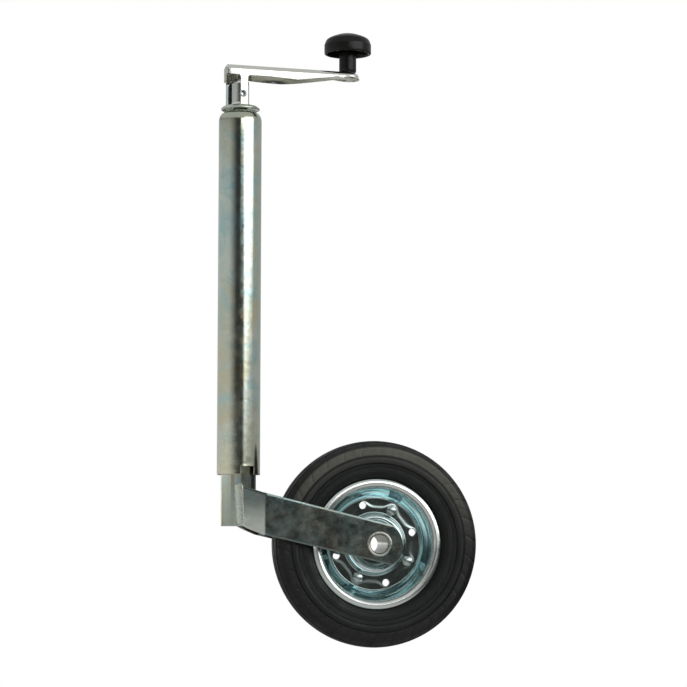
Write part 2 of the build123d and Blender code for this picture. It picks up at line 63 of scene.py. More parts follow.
# ---- places taken from the frame, in millimetres ----
TYRE_LOW, TYRE_HIGH = box_mm("tyre")
TUBE_LOW, TUBE_HIGH = box_mm("outer_tube")
LEG_LOW, LEG_HIGH = box_mm("inner_tube")
CRANK_LOW, CRANK_HIGH = box_mm("crank_arm")
KNOB_LOW, KNOB_HIGH = box_mm("crank_knob")
WASHER_LOW, WASHER_HIGH = box_mm("crank_washer")
SOCKET_LOW, SOCKET_HIGH = box_mm("crank_socket")
SPINDLE_LOW, SPINDLE_HIGH = box_mm("spindle")
RIVET_LOW, RIVET_HIGH = box_mm("knob_pin")
AXLE_HIGH = box_mm("axle")[1]
PIN_LOW, PIN_HIGH = box_mm("crank_pin")
ARM_HIGH = box_mm("fork_arm_back")[1]
WHEEL_X = (TYRE_LOW.x + TYRE_HIGH.x) / 2
WHEEL_Z = (TYRE_LOW.z + TYRE_HIGH.z) / 2
GROUND = TYRE_LOW.z
TYRE_R = (TYRE_HIGH.x - TYRE_LOW.x) / 2
TYRE_HALF = TYRE_HIGH.y
TUBE_R = TUBE_HIGH.x
WALL_TOP = -TUBE_LOW.z  # the straight wall's two ends are the same distance from the origin
LEG_R = LEG_HIGH.x
KNOB_X = (KNOB_LOW.x + KNOB_HIGH.x) / 2
KNOB_R = (KNOB_HIGH.x - KNOB_LOW.x) / 2
LEG_TRAVEL = 220.0  # how far the leg winds out from rest
SIDES = ((-1, "front"), (1, "back"))
HOLE_SIDES = 40


# ---- mesh building ----
def about_tube(r, h, angle):
    return (r * cos(angle), r * sin(angle), h)


def about_knob(r, h, angle):
    return (KNOB_X + r * cos(angle), r * sin(angle), h)


def about_axle(r, h, angle):
    """h is along Y; the angle runs clockwise from the top, seen from the front."""
    return (WHEEL_X + r * sin(angle), h, WHEEL_Z + r * cos(angle))


def smooth(x, low, high):
    """0 below low, 1 above high, with soft ends."""
    t = min(1.0, max(0.0, (x - low) / (high - low)))
    return t * t * (3 - 2 * t)


def bump_at(x, width):
    """A soft hump, 1 at x = 0 and nothing past about twice the width."""
    return exp(-((x / width) ** 2))


def rounded(points, radius, steps=4, closed=False):
    """The polyline with its corners turned into arcs of up to that radius."""
    out = []
    count = len(points)
    for i, point in enumerate(points):
        if not closed and i in (0, count - 1):
            out.append(tuple(point))
            continue
        here = Vector(point)
        back = Vector(points[i - 1]) - here
        on = Vector(points[(i + 1) % count]) - here
        back_length, on_length = back.length, on.length
        back.normalize()
        on.normalize()
        turn = pi - acos(max(-1.0, min(1.0, back.dot(on))))
        if turn < 0.03:
            out.append(tuple(here))
            continue
        cut = min(radius * tan(turn / 2), 0.45 * back_length, 0.45 * on_length)
        arc_r = cut / tan(turn / 2)
        centre = here + (back + on).normalized() * (arc_r / cos(turn / 2))
        first = here + back * cut - centre
        last = here + on * cut - centre
        for k in range(steps + 1):
            t = k / steps
            arm = (sin((1 - t) * turn) * first + sin(t * turn) * last) / sin(turn)
            out.append(tuple(centre + arm))
    return out


def split(points, step):
    """The polyline with points added so that none is further than step from the next."""
    out = [points[0]]
    for a, b in zip(points, points[1:]):
        parts = max(1, ceil(dist(a, b) / step))
        out += [tuple(p + (q - p) * k / parts for p, q in zip(a, b)) for k in range(1, parts + 1)]
    return out


def mesh_object(name, verts, faces, outward=None):
    """A new object from millimetres. Closed surfaces face out, and open ones along outward(point)."""
    mesh = bpy.data.meshes.new(name)
    mesh.from_pydata([Vector(v) * MM for v in verts], [], faces)
    shape = bmesh.new()
    shape.from_mesh(mesh)
    bmesh.ops.remove_doubles(shape, verts=shape.verts, dist=1e-6)
    bmesh.ops.dissolve_degenerate(shape, edges=shape.edges, dist=1e-7)
    if outward is None:
        bmesh.ops.recalc_face_normals(shape, faces=shape.faces)
    else:
        shape.normal_update()
        facing = sum(f.normal.dot(outward(f.calc_center_median() / MM)) * f.calc_area() for f in shape.faces)
        if facing < 0:
            bmesh.ops.reverse_faces(shape, faces=shape.faces)
    shape.to_mesh(mesh)
    shape.free()
    obj = bpy.data.objects.new(name, mesh)
    bpy.context.scene.collection.objects.link(obj)
    return obj


def grid_faces(rows, columns, rows_closed=False, columns_closed=False, keep=None):
    """Quads over points stored row by row."""
    faces = []
    for j in range(rows if rows_closed else rows - 1):
        for i in range(columns if columns_closed else columns - 1):
            if keep and not keep(j, i):
                continue
            a, b = j * columns + i, j * columns + (i + 1) % columns
            c, d = ((j + 1) % rows) * columns + (i + 1) % columns, ((j + 1) % rows) * columns + i
            faces.append((a, b, c, d))
    return faces


def lathe(name, section, place, turns=96):
    """A closed section, as points of radius and height, turned about an axis."""
    verts = [place(r, h, TAU * j / turns) for j in range(turns) for r, h in section]
    return mesh_object(name, verts, grid_faces(turns, len(section), True, True))


def finished(obj):
    """Puts the object's modifiers into its mesh."""
    seen = obj.evaluated_get(bpy.context.evaluated_depsgraph_get())
    mesh = bpy.data.meshes.new_from_object(seen)
    obj.modifiers.clear()
    obj.data = mesh
    return obj


def break_edges(obj, width, sharp=40):
    bevel = obj.modifiers.new("broken_edges", "BEVEL")
    bevel.width = width * MM
    bevel.segments = 2
    bevel.limit_method = "ANGLE"
    bevel.angle_limit = radians(sharp)
    return obj


def thicken(obj, thickness, bevel=0.0):
    """Gives an open surface its plate thickness behind it, with broken edges."""
    plate = obj.modifiers.new("plate", "SOLIDIFY")
    plate.thickness = thickness * MM
    plate.offset = -1
    plate.use_even_offset = True
    plate.thickness_clamp = 1.0
    if bevel:
        break_edges(obj, bevel)
    return finished(obj)


def drill(obj, holes):
    """Cuts round holes, each a place to start, a place to end and a radius."""
    for start, end, radius in holes:
        start, end = Vector(start), Vector(end)
        turn = (end - start).to_track_quat("Z", "Y").to_matrix()
        angles = [TAU * k / HOLE_SIDES for k in range(HOLE_SIDES)]
        ring = [turn @ Vector((radius * cos(a), radius * sin(a), 0)) for a in angles]
        verts = [start + v for v in ring] + [end + v for v in ring]
        faces = grid_faces(2, HOLE_SIDES, False, True)
        faces += [tuple(reversed(range(HOLE_SIDES))), tuple(range(HOLE_SIDES, 2 * HOLE_SIDES))]
        cutter = mesh_object("cutter", verts, faces)
        cut = obj.modifiers.new("hole", "BOOLEAN")
        cut.operation = "DIFFERENCE"
        cut.solver = "EXACT"
        cut.object = cutter
        finished(obj)
        bpy.data.objects.remove(cutter)
    return obj


def dress(obj, body, look, *nodes, sharp=35):
    """Finish, smooth shading, and the CAD body that the piece rides on."""
    obj.data.materials.clear()
    obj.data.materials.append(MATERIALS[look])
    for face in obj.data.polygons:
        face.material_index = 0
    obj.data.shade_smooth()
    obj.data.set_sharp_from_angle(angle=radians(sharp))
    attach(obj, body)
    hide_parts(*nodes)
    return obj


# ---- node materials ----
class Nodes:
    """Short ways to add nodes to one tree. A value is a number, a colour or another node's socket."""

    def __init__(self, tree):
        self.tree = tree

    def node(self, kind, values=None, **settings):
        """A new node, with values put into its inputs, which go by name or number."""
        made = self.tree.nodes.new(f"ShaderNode{kind}")
        for setting, value in settings.items():
            setattr(made, setting, value)
        for socket, value in (values or {}).items():
            if hasattr(value, "is_linked"):
                self.link(value, made.inputs[socket])
            else:
                made.inputs[socket].default_value = value
        return made

    def link(self, source, target):
        self.tree.links.new(source, target)

    def math(self, operation, first, second=0.0):
        return self.node("Math", {0: first, 1: second}, operation=operation).outputs["Value"]

    def vector_math(self, operation, first, second=(0, 0, 0)):
        made = self.node("VectorMath", {0: first, 1: second}, operation=operation)
        return made.outputs["Vector" if operation in ("SUBTRACT", "MULTIPLY") else "Value"]

    def part(self, vector, axis):
        return self.node("SeparateXYZ", {0: vector}).outputs[axis]

    def slope(self, value, low, high, out_low=0.0, out_high=1.0, **settings):
        """out_low below low, out_high above high, and a straight line between."""
        values = {"Value": value, "From Min": low, "From Max": high, "To Min": out_low, "To Max": out_high}
        return self.node("MapRange", values, **settings).outputs["Result"]

    def ramp(self, value, low, high, out_low=0.0, out_high=1.0):
        """A slope with soft ends."""
        return self.slope(value, low, high, out_low, out_high, interpolation_type="SMOOTHSTEP")


MATERIALS = {}


class Shader(Nodes):
    """One node material, kept in MATERIALS: a Principled shader plus ways to add what feeds it."""

    def __init__(self, name, metallic=0.0, roughness=0.5, colour=(0.5, 0.5, 0.5)):
        self.material = MATERIALS[name] = bpy.data.materials.new(name)
        self.material.use_nodes = True
        super().__init__(self.material.node_tree)
        self.surface = self.tree.nodes["Principled BSDF"]
        for socket, value in (("Metallic", metallic), ("Roughness", roughness), ("Base Color", (*colour, 1))):
            self.surface.inputs[socket].default_value = value
        self.where = self.node("TexCoord").outputs["Object"]

    def feed(self, source, socket):
        self.link(source, self.surface.inputs[socket])

    def along(self, axis):
        """Distance from the origin along X, Y or Z, in metres."""
        return self.part(self.where, axis)

    def radius(self):
        """Distance from the wheel's axis, in metres."""
        from_axle = self.vector_math("SUBTRACT", self.where, (WHEEL_X * MM, 0, WHEEL_Z * MM))
        return self.vector_math("LENGTH", self.vector_math("MULTIPLY", from_axle, (1, 0, 1)))

    def band(self, value, low, high, soft):
        """1 between low and high, 0 outside."""
        above = self.ramp(value, low - soft, low + soft)
        return self.math("MULTIPLY", above, self.ramp(value, high - soft, high + soft, 1.0, 0.0))

    def noise(self, scale, detail=2.0, rough=0.5, stretch=None, distortion=0.0):
        where = self.where
        if stretch:
            where = self.node("Mapping", {"Scale": stretch, "Vector": where}).outputs["Vector"]
        values = {"Scale": scale, "Detail": detail, "Roughness": rough, "Distortion": distortion, "Vector": where}
        return self.node("TexNoise", values).outputs["Fac"]

    def mix(self, amount, first, second):
        """Blends two colours, each a colour or a socket."""
        first, second = (c if hasattr(c, "is_linked") else (*c, 1) for c in (first, second))
        return self.node("Mix", {0: amount, 6: first, 7: second}, data_type="RGBA").outputs[2]

    def edges(self, reach):
        """0 on flat stretches, 1 along sharp edges."""
        pointiness = self.node("NewGeometry").outputs["Pointiness"]
        return self.ramp(pointiness, FLAT_POINTINESS, FLAT_POINTINESS + reach)

    def bump(self, height, strength, distance, after=None):
        values = {"Strength": strength, "Distance": distance, "Height": height}
        if after:
            values["Normal"] = after
        return self.node("Bump", values).outputs["Normal"]


FLAT_POINTINESS = 0.53  # just above what a flat stretch gives
# places on the fork and the crank, in metres, each the start and the end of a soft change: where the fork arm's
# painted highlight and the crank's painted shade begin and end
ARM_FOLD_X = (0.0248, 0.0268)
PALE_ZONE_Z = (-0.256, -0.222)
CRANK_INSIDE_Y = (0.003, CRANK_HIGH.y * MM - 0.0013)
CRANK_INSIDE_Z = (0.242, 0.245)


def zinc(
    name, base, warm, cool, bloom=0.5, rough=(0.2, 0.38), relief=0.3, grain=0.1, foot=None, painted_glints=0.0,
    edge_wear_and_highlight=0.0, streaks=0.0, rings=(), satin=None, painted_arm_highlight=None, inside=None,
):
    """Zinc plate: cloudy colour, a bloom of tarnish, and a fine orange-peel in its shine. Lengths are in metres.

    bloom: how strong the warm patches are. rough: the least and the greatest roughness.
    relief, grain: depth of the orange-peel, and of a finer one.
    foot: two heights. The warm colour is even and strong below the first and only in patches above the second.
    spangle, worn, streaks: amounts of painted glints, of bright edges that are partly wear and partly a painted
    highlight, and of long drawing marks.
    rings: bands of the wheel painted lighter or darker, as painted highlights and painted shade: two radii,
    softness, colour, amount.
    satin: a duller band of the wheel: two radii, softness, added roughness.
    painted_arm_highlight: a painted highlight on a fork arm between weld and fold, strongest low down. inside:
    painted shade on the lower inside of the crank's back leg.
    """
    s = Shader(name, metallic=1.0)
    clouds = s.ramp(s.noise(26.0, 5.0, 0.65, distortion=0.7), 0.34, 0.70)
    colour = s.mix(clouds, base, cool)
    patches = s.ramp(s.noise(11.0, 6.0, 0.68, distortion=0.8), 0.40, 0.72, 0.0, bloom)
    if foot:
        patches = s.math("MAXIMUM", patches, s.ramp(s.along("Z"), *foot, 0.65, 0.0))
    colour = s.mix(patches, colour, warm)
    specks = s.ramp(s.noise(520.0, 4.0, 0.75), 0.56, 0.72, 0.0, 0.4)
    colour = s.mix(specks, colour, tuple(0.5 * c for c in base))
    # bands of painted highlight and painted shade round the wheel
    for inner, outer, soft, tint, amount in rings:
        colour = s.mix(s.math("MULTIPLY", s.band(s.radius(), inner, outer, soft), amount), colour, tint)
    # a painted highlight on the fork arm, low down between weld and fold
    if painted_arm_highlight:
        wavering = s.math("ADD", s.along("X"), s.math("MULTIPLY", clouds, 0.001))
        lower = s.ramp(s.along("Z"), *PALE_ZONE_Z, 1.0, 0.12)
        colour = s.mix(s.math("MULTIPLY", s.ramp(wavering, *ARM_FOLD_X, 1.0, 0.0), lower), colour, painted_arm_highlight)
    # painted shade on the inside of the crank's back leg, low down
    if inside:
        within = s.band(s.along("Y"), *CRANK_INSIDE_Y, 0.0003)
        low_down = s.ramp(s.along("Z"), *CRANK_INSIDE_Z, 1.0, 0.0)
        colour = s.mix(s.math("MULTIPLY", within, low_down), colour, inside)
    if streaks:
        drawn = s.ramp(s.noise(90.0, 3.0, 0.6, stretch=(1, 1, 0.03)), 0.42, 0.66, 0.0, streaks)
        colour = s.mix(drawn, colour, tuple(0.55 * c for c in warm))
    # painted glints: tiny near-white flecks painted into the colour
    if painted_glints:
        glints = s.ramp(s.noise(700.0, 3.0, 0.8), 0.6, 0.72, 0.0, painted_glints)
        colour = s.mix(glints, colour, (0.85, 0.9, 0.88))
    # bright edges: partly wear, partly a painted highlight
    if edge_wear_and_highlight:
        colour = s.mix(s.math("MULTIPLY", s.edges(0.06), edge_wear_and_highlight), colour, (0.9, 0.93, 0.92))
    s.feed(colour, "Base Color")
    dull = s.ramp(s.noise(70.0, 6.0, 0.72), 0.3, 0.7, *rough)
    if satin:
        dull = s.math("ADD", dull, s.math("MULTIPLY", s.band(s.radius(), *satin[:3]), satin[3]))
    s.feed(dull, "Roughness")
    waves = s.bump(s.noise(120.0, 4.0, 0.6), relief, 0.0006)
    s.feed(s.bump(s.noise(1100.0, 3.0, 0.6), grain, 0.0002, after=waves), "Normal")


def rubber():
    """Black rubber: dusty in patches, with a painted highlight on two rings of the sidewall, mostly in their
    upper half.
    """
    s = Shader("tyre_rubber", roughness=0.55, colour=(0.014, 0.015, 0.015))
    s.surface.inputs["Specular IOR Level"].default_value = 0.4
    dust = s.ramp(s.noise(16.0, 6.0, 0.7, distortion=0.9), 0.42, 0.72)
    colour = s.mix(dust, (0.0030, 0.0042, 0.0038), (0.0078, 0.0090, 0.0082))
    # painted highlight: the sidewall's rings and shoulder are paler higher up, where the light falls
    painted_top_light = s.ramp(s.along("Z"), WHEEL_Z * MM - 0.02, WHEEL_Z * MM + 0.11, 0.05, 0.95)
    ring = s.math("MULTIPLY", s.band(s.radius(), 0.0902, 0.0960, 0.0006), painted_top_light)
    colour = s.mix(ring, colour, (0.034, 0.034, 0.031))
    shoulder = s.math("MULTIPLY", s.band(s.radius(), 0.0980, 0.1075, 0.0012), painted_top_light)
    colour = s.mix(shoulder, colour, (0.092, 0.088, 0.075))
    rubs = s.ramp(s.noise(34.0, 7.0, 0.78, distortion=1.6), 0.54, 0.74, 0.0, 0.6)
    colour = s.mix(rubs, colour, (0.017, 0.017, 0.014))
    scuffs = s.ramp(s.noise(260.0, 5.0, 0.75), 0.58, 0.78, 0.0, 0.45)
    colour = s.mix(scuffs, colour, (0.045, 0.043, 0.038))
    s.feed(colour, "Base Color")
    s.feed(s.ramp(s.noise(45.0, 6.0, 0.65), 0.3, 0.72, 0.36, 0.62), "Roughness")
    waves = s.bump(s.noise(75.0, 4.0, 0.6), 0.25, 0.0008)
    s.feed(s.bump(s.noise(1300.0, 4.0, 0.65), 0.3, 0.0003, after=waves), "Normal")


def black_plastic():
    s = Shader("knob_plastic", roughness=0.3, colour=(0.006, 0.006, 0.006))
    s.surface.inputs["Specular IOR Level"].default_value = 0.3
    clouds = s.ramp(s.noise(30.0, 5.0, 0.65), 0.35, 0.7)
    colour = s.mix(clouds, (0.004, 0.004, 0.004), (0.011, 0.010, 0.009))
    marks = s.ramp(s.noise(240.0, 5.0, 0.75), 0.62, 0.78, 0.0, 0.5)
    s.feed(s.mix(marks, colour, (0.03, 0.028, 0.025)), "Base Color")
    s.feed(s.ramp(s.noise(80.0, 5.0, 0.7), 0.3, 0.75, 0.2, 0.34), "Roughness")
    s.feed(s.bump(s.noise(900.0, 4.0, 0.6), 0.15, 0.0002), "Normal")


def nylon():
    s = Shader("nylon", roughness=0.5, colour=(0.7, 0.68, 0.62))
    clouds = s.ramp(s.noise(60.0, 4.0, 0.6), 0.35, 0.7)
    s.feed(s.mix(clouds, (0.72, 0.7, 0.64), (0.62, 0.6, 0.54)), "Base Color")
    s.feed(s.ramp(s.noise(120.0, 4.0, 0.6), 0.3, 0.7, 0.4, 0.58), "Roughness")
    s.feed(s.bump(s.noise(900.0, 2.0, 0.5), 0.15, 0.0002), "Normal")


zinc(
    "zinc_tube", (0.68, 0.72, 0.66), (0.72, 0.62, 0.40), (0.42, 0.63, 0.65), bloom=0.9, rough=(0.10, 0.19),
    relief=0.12, foot=(-0.22, -0.1), painted_glints=0.45,
)
zinc(
    "zinc_leg", (0.74, 0.72, 0.56), (0.66, 0.60, 0.38), (0.60, 0.76, 0.78), bloom=0.7, rough=(0.16, 0.28),
    relief=0.10, streaks=1.0,
)
# inside paints shade on the inside of the crank's back leg
zinc(
    "zinc_crank", (0.97, 0.96, 0.89), (0.93, 0.89, 0.76), (0.91, 0.93, 0.90), bloom=0.4, rough=(0.11, 0.19),
    relief=0.03, edge_wear_and_highlight=0.2, inside=(0.10, 0.12, 0.13),
)
zinc(
    "zinc_washer", (0.80, 0.82, 0.74), (0.76, 0.75, 0.56), (0.66, 0.78, 0.72), bloom=0.7, rough=(0.2, 0.34),
    relief=0.06,
)
zinc(
    "zinc_blue", (0.74, 0.82, 0.82), (0.82, 0.80, 0.70), (0.56, 0.74, 0.78), bloom=0.45, rough=(0.07, 0.14),
    relief=0.04, painted_glints=0.2, grain=0.05, satin=(0.0615, 0.0695, 0.0012, 0.12),
    # painted light and shade: the web painted darker as shade, a painted highlight on the lip round the hub,
    # bluer and darker bands on the cone below the flange, a painted highlight on the flange, and painted shade on
    # its outer lip
    rings=(
        (0.0, 0.0526, 0.0012, (0.46, 0.54, 0.52), 0.9),
        (0.0225, 0.0335, 0.0006, (0.80, 0.90, 0.92), 1.0),
        (0.0526, 0.0575, 0.0014, (0.50, 0.78, 0.86), 0.9),
        (0.0596, 0.0616, 0.0007, (0.32, 0.66, 0.76), 0.8),
        (0.0622, 0.0712, 0.0010, (0.96, 0.97, 0.95), 0.9),
        (0.0722, 0.0760, 0.0010, (0.52, 0.54, 0.51), 0.8),
    ),
)
# painted_arm_highlight paints a highlight low on the fork arm
zinc(
    "zinc_dark", (0.27, 0.32, 0.31), (0.29, 0.24, 0.17), (0.19, 0.27, 0.27), bloom=0.8, rough=(0.15, 0.27),
    relief=0.07, painted_glints=0.8, edge_wear_and_highlight=0.04, painted_arm_highlight=(0.92, 0.95, 0.88),
)
zinc(
    "axle_zinc", (0.72, 0.72, 0.68), (0.62, 0.55, 0.38), (0.60, 0.64, 0.64), bloom=0.6, rough=(0.2, 0.32),
    relief=0.1, edge_wear_and_highlight=0.4,
)
zinc(
    "bolt_zinc", (0.70, 0.76, 0.76), (0.66, 0.64, 0.52), (0.50, 0.64, 0.68), bloom=0.5, rough=(0.16, 0.28),
    relief=0.1, edge_wear_and_highlight=0.4,
)
# the weld is pale, partly its own colour and partly a painted highlight
zinc(
    "weld", (0.88, 0.90, 0.80), (0.74, 0.68, 0.48), (0.70, 0.78, 0.74), bloom=0.7, rough=(0.22, 0.4),
    relief=0.4, edge_wear_and_highlight=0.6,
)
zinc("steel", (0.58, 0.59, 0.6), (0.5, 0.47, 0.4), (0.5, 0.52, 0.54), bloom=0.3, relief=0.12)
zinc(
    "hard_steel", (0.7, 0.71, 0.72), (0.62, 0.6, 0.55), (0.6, 0.63, 0.66), bloom=0.2, rough=(0.08, 0.16),
    relief=0.05,
)
nylon()
rubber()
black_plastic()

NODE_SLOT = {row["node"]: row["material_slot"] for row in frame["record"]["subparts"]}
for node_name, node in frame["nodes"].items():
    node.data.materials.clear()
    node.data.materials.append(MATERIALS[NODE_SLOT[node_name]])

# ---- outer tube: spun-in top, notched foot ----
TUBE_WALL = 3.0
DOME_FLAT_R = 16.5
DOME_HOLE_R = 12.0
NOTCH_TURN = radians(72)  # each notch's middle, either side of the wheel's direction
NOTCH_HALF = asin(8.25 / TUBE_R)
NOTCH_TOP = TUBE_LOW.z + 9.0
NOTCH_LIP = 0.05  # the punch has raised the metal above the notch
LEG_WALL = 2.5


def tube_shell():
    stops = [turn + half for turn in (-NOTCH_TURN, NOTCH_TURN) for half in (-NOTCH_HALF, NOTCH_HALF)]
    stops.append(stops[0] + TAU)
    angles = []
    for a, b in zip(stops, stops[1:]):
        parts = round((b - a) / radians(2))
        angles += [a + (b - a) * k / parts for k in range(parts)]
    dome = [
        (DOME_FLAT_R + (TUBE_R - DOME_FLAT_R) * cos(t), WALL_TOP + (TUBE_HIGH.z - WALL_TOP) * sin(t))
        for t in [pi / 2 * k / 12 for k in range(1, 13)]
    ]
    heights = [TUBE_LOW.z, TUBE_LOW.z + 1, TUBE_LOW.z + 3.5, TUBE_LOW.z + 6.5, NOTCH_TOP, NOTCH_TOP + 0.5]
    heights += [NOTCH_TOP + h for h in (1, 1.6, 2.2, 3, 4, 6, 9, 14)]
    heights += [NOTCH_TOP + 14 + (WALL_TOP - NOTCH_TOP - 14) * k / 24 for k in range(1, 25)]
    section = [(TUBE_R, h) for h in heights] + dome
    section += [(DOME_HOLE_R + 2, TUBE_HIGH.z), (DOME_HOLE_R, TUBE_HIGH.z)]
    verts = []
    for angle in angles:
        inside = min(abs(abs(remainder(angle, TAU)) - NOTCH_TURN) / NOTCH_HALF, 2)
        lip = NOTCH_LIP * (1 - smooth(inside, 0.85, 1.1))
        verts += [about_tube(r + lip * bump_at(h - NOTCH_TOP, 1.8), h, angle) for r, h in section]
    gap = heights.index(NOTCH_TOP)

    def kept(j, i):
        middle = remainder(angles[j] + 0.01, TAU)
        return i >= gap or abs(abs(middle) - NOTCH_TURN) > NOTCH_HALF

    obj = mesh_object(
        "tube_shell", verts, grid_faces(len(angles), len(section), True, False, kept),
        outward=lambda c: Vector((c.x, c.y, 0)),
    )
    return thicken(obj, TUBE_WALL, 0.35)


dress(tube_shell(), "tube", "zinc_tube", "outer_tube", sharp=40)


def rubbed_ring(name, inner_r, outer_r, low, high, place, radius=0.6, turns=96, steps=3):
    """A turned ring with rounded corners."""
    section = [(inner_r, low), (outer_r, low), (outer_r, high), (inner_r, high)]
    return lathe(name, rounded(section, radius, steps, closed=True), place, turns)


dress(
    rubbed_ring("leg_tube", LEG_R - LEG_WALL, LEG_R, LEG_LOW.z, LEG_HIGH.z, about_tube, 0.7, 128, 4),
    "leg", "zinc_leg", "inner_tube",
)

# ---- spindle with its thread ----
THREAD_PITCH = 4.0
THREAD_DEPTH = 1.3
THREAD_TOP = 150.0


def threaded_spindle():
    low, high = SPINDLE_LOW.z, SPINDLE_HIGH.z
    radius = SPINDLE_HIGH.x
    turns = 40
    rows = [low, low + 0.6]
    step = THREAD_PITCH / 6
    count = int((THREAD_TOP - low - 1.5) / step)
    rows += [low + 1.2 + step * k for k in range(count)]
    rows += [THREAD_TOP + 2, high - 1.2, high]
    verts = []
    for h in rows:
        for j in range(turns):
            wave = cos(TAU * (h / THREAD_PITCH - j / turns))
            cut = THREAD_DEPTH * smooth(-wave, -0.6, 0.6)
            cut *= smooth(h, low + 1, low + 4) * (1 - smooth(h, THREAD_TOP - 3, THREAD_TOP))
            end = 1.2 * (1 - smooth(min(h - low, high - h), -0.6, 1.2))
            verts.append(about_tube(radius - cut - end, h, TAU * j / turns))
    faces = grid_faces(len(rows), turns, False, True)
    faces += [tuple(range(turns)), tuple(range(len(verts) - turns, len(verts)))]
    return mesh_object("threaded_spindle", verts, faces)


dress(threaded_spindle(), "screw", "steel", "spindle", sharp=50)

# ---- crank ----
CRANK_SHEET = 2.5
CRANK_HALF = CRANK_HIGH.y
CRANK_LEFT = CRANK_LOW.x - 2.0  # the rounder bend needs this much more room than the frame's tight one
CRANK_TOP = CRANK_HIGH.z
CRANK_RIGHT = 6.8  # inner edge of the leg
CRANK_FOOT = WASHER_HIGH.z
CRANK_FALL = 0.030
CRANK_BEND_R = 5.0
CRANK_WEB_BEND = 0.55  # the web's bend is tighter by this share
CRANK_NOTCH_X = -1.1  # the front flange is cut away left of this
CRANK_NOTCH_TOP = 251.0
CRANK_WEB_FOOT = 244.0
CRANK_CORNER_R = 3.0
CRANK_FLARE = 1.1  # the skirt opens out round the knob's end
DIMPLE_X, DIMPLE_DROP, DIMPLE_DEPTH = 41.0, 11.5, 0.9  # it stiffens the back flange beside the leg
# each flange's depth below the top plate, at places along the crank
EDGE_END = [(97, 8.2), (KNOB_X - 13, 6.0), (KNOB_X - 8, 7.2)]
BACK_EDGE = [(CRANK_RIGHT, 13.6), (32, 15.0), (50, 15.2), (69, 12.8)] + EDGE_END
FRONT_EDGE = [(CRANK_RIGHT, 11.4), (32, 11.4), (64, 13.0)] + EDGE_END
PIN_X = (PIN_LOW.x + PIN_HIGH.x) / 2
PIN_Z = (PIN_LOW.z + PIN_HIGH.z) / 2
PIN_R = (PIN_HIGH.z - PIN_LOW.z) / 2


def along(points, x):
    """The height of a polyline at x."""
    if x <= points[0][0]:
        return points[0][1]
    for (x0, y0), (x1, y1) in zip(points, points[1:]):
        if x <= x1:
            return y0 + (y1 - y0) * (x - x0) / (x1 - x0)
    return points[-1][1]


END_STEPS = 24  # stations round the knob's end
BY_THE_WEB = ("back_corner", "web", "front_corner")


